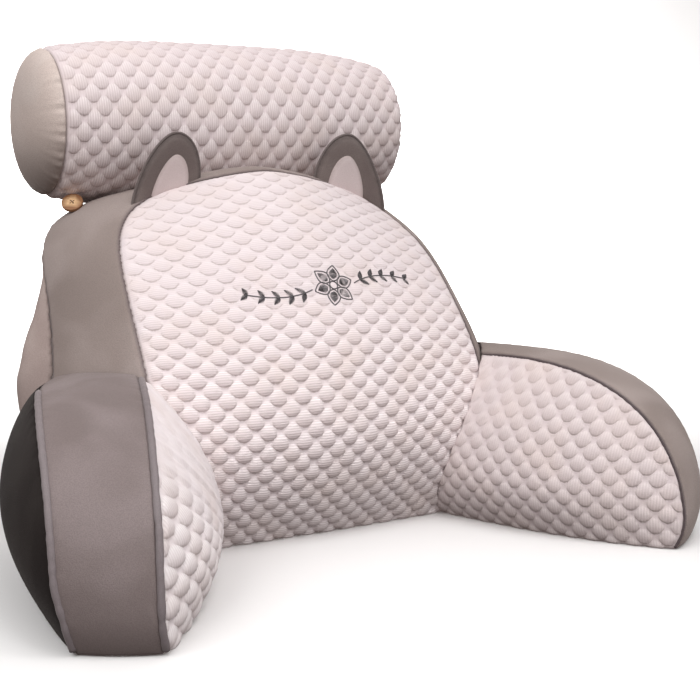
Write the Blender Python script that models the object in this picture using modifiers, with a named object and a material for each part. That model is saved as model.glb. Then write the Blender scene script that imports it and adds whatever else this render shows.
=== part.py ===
"""A reading pillow with arms: a leaning filled back, two filled arms, a neck roll and two cloth ears.

The back and each arm are boxed cushions: a face of bubble cloth, a plush band sewn round it, and a
plush panel behind. Metres, +Z up. The sitter faces -Y, and the origin lies on the surface, under the
middle of the whole pillow.
"""

import math

import bmesh
import bpy
import numpy as np
from mathutils import Vector, geometry

# Driving dimensions. SEAT_Y places the line where the arms meet the back.
SEAT_Y = -0.0758
BACK_HALF_WIDTH = 0.218
REAR_WIDENING = 1.32
BAND_DEPTH = 0.116
BAND_DROP = 0.018
BAND_PUFF = 0.010
REAR_PINCH = 0.045
ARM_BAND_PUFF = 0.004
REAR_PUFF = 0.085
REAR_TURN = math.radians(112)
REAR_SWELL = 1.12
REAR_SWELL_TOP = 0.88
ARM_START = 0.225
ARM_SPLAY = math.radians(18)
ARM_LENGTH = 0.286
ARM_HEIGHT = 0.208
ARM_WIDTH = 0.104
ARM_FOOT_TUCK = 0.010
ARM_REAR_TOP = -0.085
ARM_REAR_FOOT = -0.105
OUTER_DROP = 0.013
ARM_INNER_PUFF = 0.086
ARM_OUTER_PUFF = 0.047
ROLL_LENGTH = 0.518
ROLL_RADIUS = 0.104
ROLL_X = -0.003
ROLL_TAPER = 0.22
ROLL_CLEARANCE = 0.0055
END_DOME = 0.031
ROLL_Y = 0.307
ROLL_Z = 0.481
PIPING_RADIUS = 0.0035
PIPING_START = 0.012
BUTTON_RADIUS = 0.013
BUTTON_THICKNESS = 0.005
BUTTON_ROW = 19
BUTTON_RING = 6

# Cloth, and the gap that is left between two pieces.
PLUSH = 0.0016
GAP = 0.0004
FLOOR_GAP = 0.004
SEAM_INSET = 0.002
BUBBLE_RISE = 0.0022
PLAIN_STEP = 0.036

# The front of the back down its middle, from the surface to the top seam.
FRONT_PROFILE_COLUMNS = ("y", "z")
FRONT_PROFILE = (
    (0.018, 0.000),
    (-0.015, 0.045),
    (-0.039, 0.115),
    (-0.019, 0.205),
    (0.030, 0.290),
    (0.088, 0.365),
    (0.160, 0.427),
)
FRONT_SQUARENESS = (6.9, 4.9)
SIDE_FALL = (0.023, 0.070)
SIDE_FALL_POWER = 1.5

# Half a repeat of the bubbles across and up each cloth: the roll's cloth is turned by a quarter.
BACK_BUBBLE = (0.01475, 0.0130)
ARM_BUBBLE = (0.0175, 0.0150)
ROLL_BUBBLES_ROUND = 16
ROLL_BUBBLE_STEP = 0.01325

# Each arm: its side of the pillow, and how far its outer seam reaches as a share of its inner one.
ARM_COLUMNS = ("name", "hand", "outer_reach")
ARMS = (("arm_left", -1, 0.94), ("arm_right", 1, 0.915))

# Each ear's corners, on the pillow's right side: where it meets the seam, and its tip.
EAR_COLUMNS = ("x", "y", "z")
EAR_INNER = (0.079, 0.177, 0.420)
EAR_OUTER = (0.166, 0.184, 0.388)
EAR_TIP = (0.118, 0.146, 0.476)
EAR_THICKNESS = 0.016
EAR_EDGE = 0.003
EAR_SETBACK = 0.012
EAR_DEPTH = 0.006
LINING_SPAN = (0.05, 0.76, 0.60)
LINING_RISE = 0.05

COLOURS = {
    "bubble": ((0.77, 0.68, 0.67), 0.85),
    "plush": ((0.24, 0.21, 0.21), 0.95),
    "dark_plush": ((0.10, 0.09, 0.09), 0.95),
    "rear_plush": ((0.38, 0.32, 0.31), 0.95),
    "lining": ((0.60, 0.54, 0.54), 0.90),
    "button": ((0.79, 0.52, 0.29), 0.55),
}


# ---------------------------------------------------------------- shared helpers


def material(name):
    found = bpy.data.materials.get(name)
    if found:
        return found
    colour, roughness = COLOURS[name]
    made = bpy.data.materials.new(name)
    made.use_nodes = True
    shader = made.node_tree.nodes["Principled BSDF"]
    shader.inputs["Base Color"].default_value = (*colour, 1)
    shader.inputs["Roughness"].default_value = roughness
    shader.inputs["Metallic"].default_value = 0
    return made


def add(name, mesh_source, finish, collection):
    """A new object from a bmesh, with one material, smooth but for its sharp edges."""
    mesh = bpy.data.meshes.new(name)
    bmesh.ops.remove_doubles(mesh_source, verts=mesh_source.verts, dist=1e-6)
    bmesh.ops.recalc_face_normals(mesh_source, faces=mesh_source.faces)
    if mesh_source.calc_volume(signed=True) < 0:
        bmesh.ops.reverse_faces(mesh_source, faces=mesh_source.faces)
    mesh_source.to_mesh(mesh)
    mesh_source.free()
    mesh.materials.append(material(finish))
    mesh.shade_smooth()
    mesh.set_sharp_from_angle(angle=math.radians(40))
    made = bpy.data.objects.new(name, mesh)
    collection.objects.link(made)
    return made


def add_faces(target, points, faces):
    """Adds numpy points and faces by index to a bmesh."""
    verts = [target.verts.new(point) for point in points]
    for face in faces:
        target.faces.new([verts[i] for i in face])


def smooth_curve(rows, count=400):
    """A dense curve through the rows of a table, and its arc length at each point."""
    knots = np.array(rows, float)
    at = np.concatenate([[0], np.cumsum(np.linalg.norm(np.diff(knots, axis=0), axis=1))])
    slopes = np.gradient(knots, at, axis=0)
    where = np.linspace(0, at[-1], count)
    i = np.clip(np.searchsorted(at, where, side="right") - 1, 0, len(at) - 2)
    span = (at[i + 1] - at[i])[:, None]
    u = (where - at[i])[:, None] / span
    points = (
        (2 * u**3 - 3 * u**2 + 1) * knots[i]
        + (u**3 - 2 * u**2 + u) * span * slopes[i]
        + (3 * u**2 - 2 * u**3) * knots[i + 1]
        + (u**3 - u**2) * span * slopes[i + 1]
    )
    length = np.concatenate([[0], np.cumsum(np.linalg.norm(np.diff(points, axis=0), axis=1))])
    return points, length


def unit(vectors):
    return vectors / np.maximum(np.linalg.norm(vectors, axis=-1, keepdims=True), 1e-9)


def superellipse(half_width, height, powers, count):
    """An arch from its left foot over its top to its right foot, as (x, up) points."""
    turn = np.linspace(math.pi, 0, count)
    across = np.sign(np.cos(turn)) * np.abs(np.cos(turn)) ** (2 / powers[0])
    up = np.clip(np.sin(turn), 0, 1) ** (2 / powers[1])
    arch = np.stack([half_width * across, height * up], -1)
    return even_spacing(arch, count)


def even_spacing(line, count):
    """The same line with its points evenly spaced."""
    length = np.concatenate([[0], np.cumsum(np.linalg.norm(np.diff(line, axis=0), axis=1))])
    at = np.linspace(0, length[-1], count)
    return np.stack([np.interp(at, length, line[:, k]) for k in range(line.shape[1])], -1)


def distance_to(points, outline):
    """Distance of each flat point to a closed outline, negative outside it."""
    start = outline
    run = np.roll(outline, -1, axis=0) - start
    offset = points[:, None, :] - start[None]
    along = np.clip((offset * run).sum(-1) / np.maximum((run**2).sum(-1), 1e-12), 0, 1)
    nearest = np.linalg.norm(offset - along[..., None] * run, axis=-1).min(1)
    ends = start + run
    crosses = (start[:, 1] > points[:, None, 1]) != (ends[:, 1] > points[:, None, 1])
    rise = np.where(run[:, 1] == 0, 1e-12, run[:, 1])
    reach = start[:, 0] + (points[:, None, 1] - start[:, 1]) / rise * run[:, 0]
    inside = (crosses & (points[:, None, 0] < reach)).sum(1) % 2 == 1
    return np.where(inside, nearest, -nearest)


def cut_panel(outline, step, place, rise=0.0, edge=0.45, inner=None):
    """A panel cut from cloth on a grid of half repeats: every other grid point is a bubble's crown.

    outline is the flat pattern and place maps flat points to (position, normal). The outline's own
    points come first in the result. The faces within the loop called inner are given apart as well.
    """
    loops = [outline] if inner is None else [outline, inner]
    low, high = outline.min(0), outline.max(0)
    columns = np.arange(math.floor(low[0] / step[0]), math.ceil(high[0] / step[0]) + 1)
    rows = np.arange(math.floor(low[1] / step[1]), math.ceil(high[1] / step[1]) + 1)
    grid = [(int(i), int(j)) for i in columns for j in rows]
    flat = np.array([(i * step[0], j * step[1]) for i, j in grid])
    keep = np.min([distance_to(flat, loop) for loop in loops], axis=0) > edge * min(step)
    kept = [cell for cell, inside in zip(grid, keep) if inside]
    border = np.concatenate(loops)
    index = {cell: len(border) + n for n, cell in enumerate(kept)}
    fixed = []
    for i, j in kept:
        pair = ((i + 1, j), (i, j + 1)) if (i + j) % 2 == 0 else ((i, j), (i + 1, j + 1))
        if pair[0] in index and pair[1] in index:
            fixed.append((index[pair[0]], index[pair[1]]))
    start = 0
    for loop in loops:
        count = len(loop)
        fixed += [(start + n, start + (n + 1) % count) for n in range(count)]
        start += count
    pattern = np.concatenate([border, flat[keep]])
    found = geometry.delaunay_2d_cdt(
        [tuple(p) for p in pattern], fixed, [list(range(len(outline)))], 1, 1e-7
    )
    source = [origins[0] for origins in found[3]]
    faces = [[source[v] for v in face] for face in found[2]]
    points, normals = place(pattern)
    crowns = [index[cell] for cell in kept if sum(cell) % 2 == 0]
    points[crowns] += rise * normals[crowns]
    if inner is None:
        return points, faces, []
    middles = np.array([pattern[face].mean(0) for face in faces])
    return points, faces, [face for face, far in zip(faces, distance_to(middles, inner)) if far > 0]


def inset_loop(outline, inset):
    """A loop within a closed clockwise outline: inset from it, and clear of the surface below."""
    run = unit(np.roll(outline, -1, axis=0) - np.roll(outline, 1, axis=0))
    loop = outline + inset * np.stack([run[:, 1], -run[:, 0]], -1)
    loop[:, 1] = np.maximum(loop[:, 1], FLOOR_GAP)
    return loop[np.linalg.norm(loop - np.roll(loop, 1, axis=0), axis=1) > SEAM_INSET / 2]


def seam_shares(width, rows):
    """Shares across a band: its two seams, and rows between them, the outer rows set in."""
    inset = SEAM_INSET / width
    return np.array([0, *np.linspace(inset, 1 - inset, rows), 1])


def strip(rings):
    """Points and faces of a surface through rings of equal length."""
    rings = [np.asarray(ring) for ring in rings]
    count = len(rings[0])
    faces = [
        (r * count + n, r * count + n + 1, (r + 1) * count + n + 1, (r + 1) * count + n)
        for r in range(len(rings) - 1)
        for n in range(count - 1)
    ]
    return np.concatenate(rings), faces


def skin(name, points, faces, outward, finish, collection, thickness=PLUSH):
    """A cloth panel lying GAP outside a surface, with the thickness of its cloth."""
    sheet = bmesh.new()
    used = sorted({v for face in faces for v in face})
    renumbered = {v: n for n, v in enumerate(used)}
    add_faces(sheet, points[used], [[renumbered[v] for v in face] for face in faces])
    bmesh.ops.remove_doubles(sheet, verts=sheet.verts, dist=1e-6)
    bmesh.ops.recalc_face_normals(sheet, faces=sheet.faces)
    sheet.normal_update()
    if sum(face.normal.dot(outward(face.calc_center_median())) for face in sheet.faces) < 0:
        bmesh.ops.reverse_faces(sheet, faces=sheet.faces)
    sheet.normal_update()
    lifts = [vert.normal * GAP for vert in sheet.verts]
    for vert, lift in zip(sheet.verts, lifts):
        vert.co += lift
    mesh = bpy.data.meshes.new(name)
    sheet.to_mesh(mesh)
    sheet.free()
    mesh.materials.append(material(finish))
    mesh.shade_smooth()
    made = bpy.data.objects.new(name, mesh)
    collection.objects.link(made)
    solidify = made.modifiers.new("thickness", "SOLIDIFY")
    solidify.thickness = thickness
    solidify.offset = 1
    return made


# ---------------------------------------------------------------- the back cushion

_front_curve, _front_length = smooth_curve(FRONT_PROFILE)
_front_slope = unit(np.gradient(_front_curve, _front_length, axis=0))
FRONT_HEIGHT = _front_length[-1]


def roll_radius(x):
    """The neck roll's radius: fullest in the middle, drawn in towards its end seams."""
    share = np.clip(np.abs(x - ROLL_X) / (ROLL_LENGTH / 2), 0, 1)
    return ROLL_RADIUS * (1 - ROLL_TAPER * share**3.5)


def clear_of_roll(points, clearance):
    """Presses a surface down where the neck roll lies on it."""
    points = np.array(points, float)
    across = points[:, 1] - (SEAT_Y + ROLL_Y)
    above = points[:, 2] - ROLL_Z
    distance = np.hypot(across, above)
    reach = roll_radius(points[:, 0]) + clearance
    push = np.where(np.abs(points[:, 0] - ROLL_X) < ROLL_LENGTH / 2, np.maximum(reach / distance, 1), 1)
    points[:, 1] = SEAT_Y + ROLL_Y + across * push
    points[:, 2] = ROLL_Z + above * push
    return points


def front_point(flat):
    """Position on the front of the back, from (across, up the cloth)."""
    x, up = flat[:, 0], flat[:, 1]
    share = np.clip(up / FRONT_HEIGHT, 0, 1)
    y, z, slope_y, slope_z = (
        np.interp(up, _front_length, column) for column in (*_front_curve.T, *_front_slope.T)
    )
    fall = SIDE_FALL[0] + (SIDE_FALL[1] - SIDE_FALL[0]) * share**2
    fall = fall * (np.abs(x) / BACK_HALF_WIDTH) ** SIDE_FALL_POWER
    fall = fall * np.sqrt(np.clip(up / 0.08, 0, 1)) + 0.004 * share**8
    return np.stack([x, SEAT_Y + y + fall * slope_z, z - fall * slope_y], -1)


def front_place(flat):
    step = 0.002
    across = front_point(flat + [step, 0]) - front_point(flat - [step, 0])
    up = front_point(flat + [0, step]) - front_point(flat - [0, step])
    return front_point(flat), unit(np.cross(across, up))


def back_rings(count=49, rows=7):
    """The flat pattern of the front, and the rings of the band from the front seam to the rear."""
    arch = superellipse(BACK_HALF_WIDTH, FRONT_HEIGHT, FRONT_SQUARENESS, count)
    feet = arch[[0, -1]] + [0, FLOOR_GAP]
    arch = np.concatenate([arch[:1], feet[:1], arch[1:-1], feet[1:], arch[-1:]])
    front = front_point(arch)
    height = front[:, 2] / front[:, 2].max()
    shoulder = np.sin(math.pi * np.clip((height - 0.45) / 0.45, 0, 1))
    rear = front.copy()
    rear[:, 0] *= REAR_WIDENING * (1 - REAR_PINCH * shoulder)
    rear[:, 1] += BAND_DEPTH
    rear[:, 2] -= BAND_DROP * height**2
    out = unit(front * [1, 0, 1])
    rings = []
    for share in seam_shares(BAND_DEPTH, rows):
        ring = front + (rear - front) * share + out * BAND_PUFF * 4 * share * (1 - share)
        ring[[0, -1], 2] = 0
        rings.append(clear_of_roll(ring, ROLL_CLEARANCE))
    return arch, np.array(rings)


def past_seam(turn):
    """How far the rear panel swells past its seam, as a share of its half width."""
    share = np.abs(turn) / REAR_TURN
    return np.sin(np.abs(turn)) / math.sin(REAR_TURN) - share


def rear_place(ring):
    """The rear panel over its seam: (x, z) to a position, puffed out backwards."""
    half = len(ring) // 2 + 1
    z, x, y = ring[:half, 2], np.abs(ring[:half, 0]), ring[:half, 1]

    def place(flat):
        half_width = np.interp(flat[:, 1], z, x)
        turn = np.clip(flat[:, 0] / np.maximum(half_width, 0.03), -1, 1) * REAR_TURN
        share = np.clip(flat[:, 1] / z[-1], 0, 1)
        puff = REAR_PUFF * (1 - share**5) * (0.62 + 0.38 * np.clip(flat[:, 1] / 0.14, 0, 1) ** 0.7)
        depth = np.interp(flat[:, 1], z, y) + puff * (np.cos(turn) - math.cos(REAR_TURN))
        swell = REAR_SWELL * np.sin(math.pi * np.clip(share / REAR_SWELL_TOP, 0, 1)) ** 0.6
        swell = past_seam(turn) * swell
        across = flat[:, 0] + swell * half_width * np.sign(flat[:, 0])
        points = clear_of_roll(np.stack([across, depth, flat[:, 1]], -1), ROLL_CLEARANCE)
        return points, np.tile([0.0, 1.0, 0.0], (len(flat), 1))

    return place


def rear_panel(ring):
    """Points, faces and covered faces of the rear panel, and how many points run along the floor."""
    foot = np.stack([np.linspace(ring[-1, 0], ring[0, 0], 23), np.zeros(23)], -1)[1:-1]
    pattern = np.concatenate([ring[:, [0, 2]], foot])
    step = (PLAIN_STEP, PLAIN_STEP)
    loop = inset_loop(pattern, SEAM_INSET)
    points, faces, covered = cut_panel(pattern, step, rear_place(ring), inner=loop)
    points[: len(ring)] = ring
    return points, faces, covered, len(foot)


def back_shell(rise):
    """The closed surface of the back cushion as a bmesh."""
    arch, rings = back_rings()
    foot = np.stack([np.linspace(BACK_HALF_WIDTH, -BACK_HALF_WIDTH, 23), np.zeros(23)], -1)[1:-1]
    made = bmesh.new()
    points, faces, _ = cut_panel(np.concatenate([arch, foot]), BACK_BUBBLE, front_place, rise)
    points[: len(arch)] = rings[0]
    front_foot = points[len(arch) : len(arch) + len(foot)][::-1]
    add_faces(made, points, faces)
    add_faces(made, *strip(rings))
    rear = rings[-1]
    points, faces, _, foot_count = rear_panel(rear)
    rear_foot = points[len(rear) : len(rear) + foot_count][::-1]
    add_faces(made, points, faces)
    front_line = np.concatenate([rings[0][:1], front_foot, rings[0][-1:]])
    rear_line = np.concatenate([rear[:1], rear_foot, rear[-1:]])
    sole = [front_line]
    for ring in rings[1:-1]:
        share = (ring[0, 1] - front_line[0, 1]) / (rear_line[0, 1] - front_line[0, 1])
        line = front_line + (rear_line - front_line) * share
        line[[0, -1]] = ring[[0, -1]]
        sole.append(line)
    sole.append(rear_line)
    add_faces(made, *strip(sole))
    return made


def make_back(collection, cutters):
    add("back_cushion", back_shell(BUBBLE_RISE), "bubble", collection)
    cutter = add("back_clearance", back_shell(0), "bubble", cutters)
    grown = cutter.data
    for vert, normal in zip(grown.vertices, [n.vector.copy() for n in grown.vertex_normals]):
        vert.co += normal * (PLUSH + 4 * GAP)
    for vert in grown.vertices:
        vert.co.z -= 0.003 if vert.co.z < 0.003 else 0
    _, rings = back_rings()
    away = away_from(np.array([0, SEAT_Y + 0.12, 0.15]))
    skin("back_band", *strip(rings[1:-1, 1:-1]), away, "plush", collection)
    points, _, covered, _ = rear_panel(rings[-1])
    skin("back_rear_panel", points, covered, away, "rear_plush", collection)
    return cutter


def away_from(centre):
    def direction(point):
        return (point - type(point)(centre)).normalized()

    return direction


# ---------------------------------------------------------------- the arms


def arm_arch(count=29):
    """Half of the arm's side outline, from its rear top over the front to the surface: (along, up)."""
    turn = np.linspace(math.pi / 2, 0, count)
    curve = np.stack(
        [
            ARM_LENGTH * np.clip(np.cos(turn), 0, 1) ** 0.8,
            ARM_HEIGHT * np.clip(np.sin(turn), 0, 1) ** 0.8,
        ],
        -1,
    )
    curve[:, 0] -= ARM_FOOT_TUCK * np.clip(1 - curve[:, 1] / 0.04, 0, 1) ** 2
    curve = even_spacing(curve, count)
    low = curve[-1] + (curve[-2] - curve[-1]) * FLOOR_GAP / curve[-2, 1]
    return np.concatenate([curve[:-1], low[None], curve[-1:]])


def arm_pattern():
    """The closed flat pattern of an arm's side, and how many of its points the band is sewn to."""
    arch = arm_arch()
    rear_run = np.stack([np.linspace(ARM_REAR_TOP, 0, 5)[:-1], np.full(4, ARM_HEIGHT)], -1)
    band_line = np.concatenate([rear_run, arch])
    foot = np.linspace(band_line[-1, 0], ARM_REAR_FOOT, 21)[1:]
    foot = np.stack([foot, np.zeros(len(foot))], -1)
    rear = np.linspace([ARM_REAR_FOOT, 0], [ARM_REAR_TOP, ARM_HEIGHT], 8)[1:-1]
    return np.concatenate([band_line, foot, rear]), len(band_line)


def arm_place(hand, outer):
    """Maps (along, up) on one side of an arm to 3-D; hand is -1 for the left arm, 1 for the right."""
    outer_reach = dict((row[1], row[2]) for row in ARMS)[hand]
    forward, outward = arm_directions(hand)
    root = np.array([hand * ARM_START, SEAT_Y + 0.017, 0])

    def place(flat):
        along, up = flat[:, 0], flat[:, 1]
        ahead = np.clip(along / ARM_LENGTH, 0, 1)
        level = np.clip(up / ARM_HEIGHT, 0, 1)
        reach = np.clip((ahead**2.5 + level**2.5) ** 0.4, 0, 1)
        lift = np.sin(np.clip(up / (0.12 if outer else 0.07), 0, 1) * math.pi / 2)
        if outer:
            toe = np.clip(1 - up / 0.07, 0, 1) ** 1.5
            behind = np.clip(along / ARM_REAR_FOOT, 0, 1)
            width = ARM_WIDTH * (1 - (0.14 + 0.18 * toe) * ahead**2) * (1 - 0.30 * behind**2)
            puff = (1 - reach**3.2) ** 0.8 * (0.15 + 0.85 * lift)
            offset = width + ARM_OUTER_PUFF * puff * (1 - behind**2)
            drop = OUTER_DROP * (1 - ahead**2) * level
            along = np.where(along > 0, along * outer_reach, along)
            up = up - drop
        else:
            offset = -ARM_INNER_PUFF * (1 - reach**2.6) * (0.60 + 0.40 * lift)
        points = root + forward * along[:, None] + outward * offset[:, None]
        points[:, 2] = up
        side = outward if outer else -outward
        return points, np.tile(side, (len(flat), 1))

    return place


def arm_directions(hand):
    forward = np.array([hand * math.sin(ARM_SPLAY), -math.cos(ARM_SPLAY), 0])
    outward = np.array([hand * math.cos(ARM_SPLAY), math.sin(ARM_SPLAY), 0])
    return forward, outward


def above_seam(line, hand):
    """The direction straight out of the band, at each point of its flat line."""
    slope = unit(np.gradient(line, axis=0))
    return arm_directions(hand)[0] * -slope[:, 1:] + np.array([0, 0, 1]) * slope[:, :1]


def arm_band_rings(hand, rows=3):
    """Rings of the arm's band from its inner seam to its outer one."""
    pattern, band_count = arm_pattern()
    line = pattern[:band_count]
    inner = arm_place(hand, False)(line)[0]
    outer = arm_place(hand, True)(line)[0]
    out = above_seam(line, hand)
    rings = []
    for share in seam_shares(ARM_WIDTH, rows):
        ring = inner + (outer - inner) * share + out * ARM_BAND_PUFF * 4 * share * (1 - share)
        ring[-1, 2] = 0
        rings.append(ring)
    return np.array(rings)


def arm_side(hand, outer):
    """Points, faces and covered faces of one side of an arm."""
    pattern, _ = arm_pattern()
    if outer:
        step = (PLAIN_STEP, PLAIN_STEP)
        loop = inset_loop(pattern, SEAM_INSET)
        return cut_panel(pattern, step, arm_place(hand, True), inner=loop)
    return cut_panel(pattern, ARM_BUBBLE, arm_place(hand, False), BUBBLE_RISE)


def make_arm(name, hand, cutter, collection):
    pattern, band_count = arm_pattern()
    made = bmesh.new()
    inner, outer = arm_side(hand, False), arm_side(hand, True)
    add_faces(made, *inner[:2])
    add_faces(made, *outer[:2])
    rings = arm_band_rings(hand)
    add_faces(made, *strip(rings))
    ends = np.arange(band_count - 1, len(pattern) + 1) % len(pattern)
    lines = []
    for share, ring in zip(seam_shares(ARM_WIDTH, len(rings) - 2), rings):
        line = inner[0][ends] + (outer[0][ends] - inner[0][ends]) * share
        line[0], line[-1] = ring[-1], ring[0]
        lines.append(line)
    add_faces(made, *strip(lines))
    trim(add(name, made, "bubble", collection), cutter)

    away = away_from(np.array([hand * 0.30, SEAT_Y - 0.06, 0.06]))
    band = skin(f"{name}_band", *strip(rings[1:-1, :-1]), away, "plush", collection)
    side = skin(f"{name}_side_panel", outer[0], outer[2], away, "dark_plush", collection)
    trim(band, cutter)
    trim(side, cutter)


def trim(made, cutter):
    cut = made.modifiers.new("back", "BOOLEAN")
    cut.operation = "DIFFERENCE"
    cut.solver = "EXACT"
    cut.object = cutter


def make_arm_piping(name, hand, collection):
    """The rolled plush seam edges along both sides of an arm's band."""
    pattern, band_count = arm_pattern()
    line = pattern[:band_count]
    line = line[line[:, 0] > PIPING_START]
    for edge, side in (("inner", -1), ("outer", 1)):
        on_seam = arm_place(hand, side > 0)(line)[0]
        lift = PIPING_RADIUS + 2 * GAP
        centre_line = on_seam + lift * unit(above_seam(line, hand) + side * arm_directions(hand)[1])
        centre_line = centre_line[centre_line[:, 2] > PIPING_RADIUS + GAP]
        tube(f"{name}_{edge}_piping", centre_line, PIPING_RADIUS, "plush", collection)


def tube(name, path, radius, finish, collection, sides=8):
    """A closed round cord along a path."""
    ahead = unit(np.gradient(path, axis=0))
    across = unit(np.cross(ahead, [0.0, 0.0, 1.0]) + [1e-9, 0, 0])
    beside = np.cross(across, ahead)
    made = bmesh.new()
    rings = []
    for k in range(sides):
        turn = 2 * math.pi * k / sides
        line = path + radius * (math.cos(turn) * across + math.sin(turn) * beside)
        rings.append([made.verts.new(point) for point in line])
    for k in range(sides):
        one, two = rings[k], rings[(k + 1) % sides]
        for n in range(len(path) - 1):
            made.faces.new((one[n], one[n + 1], two[n + 1], two[n]))
    for end in (0, -1):
        made.faces.new([ring[end] for ring in rings])
    add(name, made, finish, collection)


# ---------------------------------------------------------------- the neck roll


def roll_surface(turn, x, radius):
    """Points round the roll's axis: turn 0 faces the sitter, and rises over the top."""
    y = SEAT_Y + ROLL_Y - radius * np.cos(turn)
    z = ROLL_Z + radius * np.sin(turn)
    return np.stack([ROLL_X + x, y, z], -1)


def roll_dome(side, rings=5, count=2 * ROLL_BUBBLES_ROUND):
    """Rings of a puffed end, from its seam to near its middle, and the middle itself."""
    turn = np.linspace(0, 2 * math.pi, count, endpoint=False)
    seam_x = ROLL_LENGTH / 2 - END_DOME
    lines = []
    for k in range(rings):
        angle = k / rings * math.pi / 2
        x = np.full(count, side * (seam_x + END_DOME * math.sin(angle)))
        lines.append(roll_surface(turn, x, roll_radius(ROLL_X + seam_x) * math.cos(angle) ** 0.75))
    pole = np.array([ROLL_X + side * (seam_x + END_DOME), SEAT_Y + ROLL_Y, ROLL_Z])
    return lines, pole


def dome_faces(lines, pole):
    count = len(lines[0])
    points = np.concatenate([*lines, pole[None]])
    faces = [
        (r * count + n, r * count + (n + 1) % count, (r + 1) * count + (n + 1) % count, (r + 1) * count + n)
        for r in range(len(lines) - 1)
        for n in range(count)
    ]
    last = (len(lines) - 1) * count
    faces += [(last + n, last + (n + 1) % count, len(points) - 1) for n in range(count)]
    return points, faces


def make_roll(collection):
    around = 2 * ROLL_BUBBLES_ROUND
    seam_x = ROLL_LENGTH / 2 - END_DOME
    along = 2 * round(seam_x / ROLL_BUBBLE_STEP)
    turn = np.linspace(0, 2 * math.pi, around, endpoint=False)
    made = bmesh.new()
    grid = []
    for j in range(along + 1):
        x = np.full(around, -seam_x + 2 * seam_x * j / along)
        crown = (np.arange(around) + j) % 2 == 0
        lift = BUBBLE_RISE * crown * (0 < j < along)
        grid.append(roll_surface(turn, x, roll_radius(ROLL_X + x) - BUBBLE_RISE / 2 + lift))
    points = np.concatenate(grid)
    faces = []
    for j in range(along):
        for i in range(around):
            a, b = j * around + i, j * around + (i + 1) % around
            c, d = a + around, b + around
            faces += [(a, b, c), (b, d, c)] if (i + j) % 2 == 0 else [(a, b, d), (a, d, c)]
    add_faces(made, points, faces)
    for side, ring in ((-1, grid[0]), (1, grid[-1])):
        lines, pole = roll_dome(side)
        lines[0] = ring
        add_faces(made, *dome_faces(lines, pole))
    add("neck_roll", made, "bubble", collection)
    for side, word in ((-1, "left"), (1, "right")):
        lines, pole = roll_dome(side)
        inset = 0.15
        lines[0] = lines[0] + (lines[1] - lines[0]) * inset
        away = away_from(np.array([ROLL_X + side * (seam_x - 0.05), SEAT_Y + ROLL_Y, ROLL_Z]))
        skin(f"neck_roll_end_{word}", *dome_faces(lines, pole), away, "plush", collection)


# ---------------------------------------------------------------- ears and buttons


def ear_outline(low=0.0, high=1.0, top=1.0, count=17):
    """A rounded arch and its base, as (along the base, towards the tip); low to high along the base."""
    turn = np.linspace(0, math.pi, count)
    up = np.clip(np.sin(turn), 0, 1) ** 0.75
    across = np.sign(np.cos(turn)) * np.abs(np.cos(turn)) ** 1.15
    along = 0.5 - 0.5 * across * (1 - 0.2 * up)
    arch = np.stack([low + (high - low) * along, top * up], -1)
    arch[[0, -1], 1] = 0
    base = np.linspace(arch[-1], arch[0], 9)[1:-1]
    return np.concatenate([arch, base])


def ear_place(hand, side):
    """Maps (along, up) to one face of a padded ear; side is 1 for the face towards the sitter."""
    arch = back_rings()[1][0]
    upper = arch[len(arch) // 4 : -(len(arch) // 4)]
    inner, outer, tip = (np.array(p) * [hand, 1, 1] + [0, SEAT_Y, 0] for p in (EAR_INNER, EAR_OUTER, EAR_TIP))
    half = ear_outline()[:9]
    rise = tip - (inner * 0.55 + outer * 0.45)
    base_run = outer - inner
    face = unit(np.cross(base_run, rise)[None])[0] * hand * side

    def place(flat):
        x = inner[0] + base_run[0] * flat[:, 0]
        base = np.stack([x, np.interp(x, upper[:, 0], upper[:, 1]), np.interp(x, upper[:, 0], upper[:, 2])], -1)
        base += [0, EAR_SETBACK, -EAR_DEPTH]
        width = np.interp(flat[:, 1], half[:, 1], 0.5 - half[:, 0])
        across = np.clip(np.abs(flat[:, 0] - 0.5) / np.maximum(width, 1e-6), 0, 1)
        puff = np.sqrt(1 - across**2.5) * (0.5 + 0.5 * np.clip(flat[:, 1] / 0.25, 0, 1))
        puff = puff * np.sqrt(1 - np.clip(flat[:, 1], 0, 1) ** 6)
        depth = (EAR_EDGE + (EAR_THICKNESS - EAR_EDGE) * puff) / 2
        return base + rise * flat[:, 1:] + face * depth[:, None], np.tile(face, (len(flat), 1))

    return place, face


def make_ears(cutter, collection):
    step = (0.14, 0.15)
    for hand, word in ((-1, "left"), (1, "right")):
        outline = ear_outline()
        lining = ear_outline(*LINING_SPAN) + [0, LINING_RISE]
        made = bmesh.new()
        edges = []
        for side in (1, -1):
            place, face = ear_place(hand, side)
            points, faces, covered = cut_panel(outline, step, place, inner=lining)
            add_faces(made, points, faces)
            edges.append(points[np.arange(len(outline) + 1) % len(outline)])
            if side > 0:
                front = Vector(face)
                panel = skin(
                    f"ear_lining_{word}", points, covered, lambda _: front, "lining", collection
                )
                trim(panel, cutter)
        add_faces(made, *strip(edges))
        trim(add(f"ear_{word}", made, "plush", collection), cutter)


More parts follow.
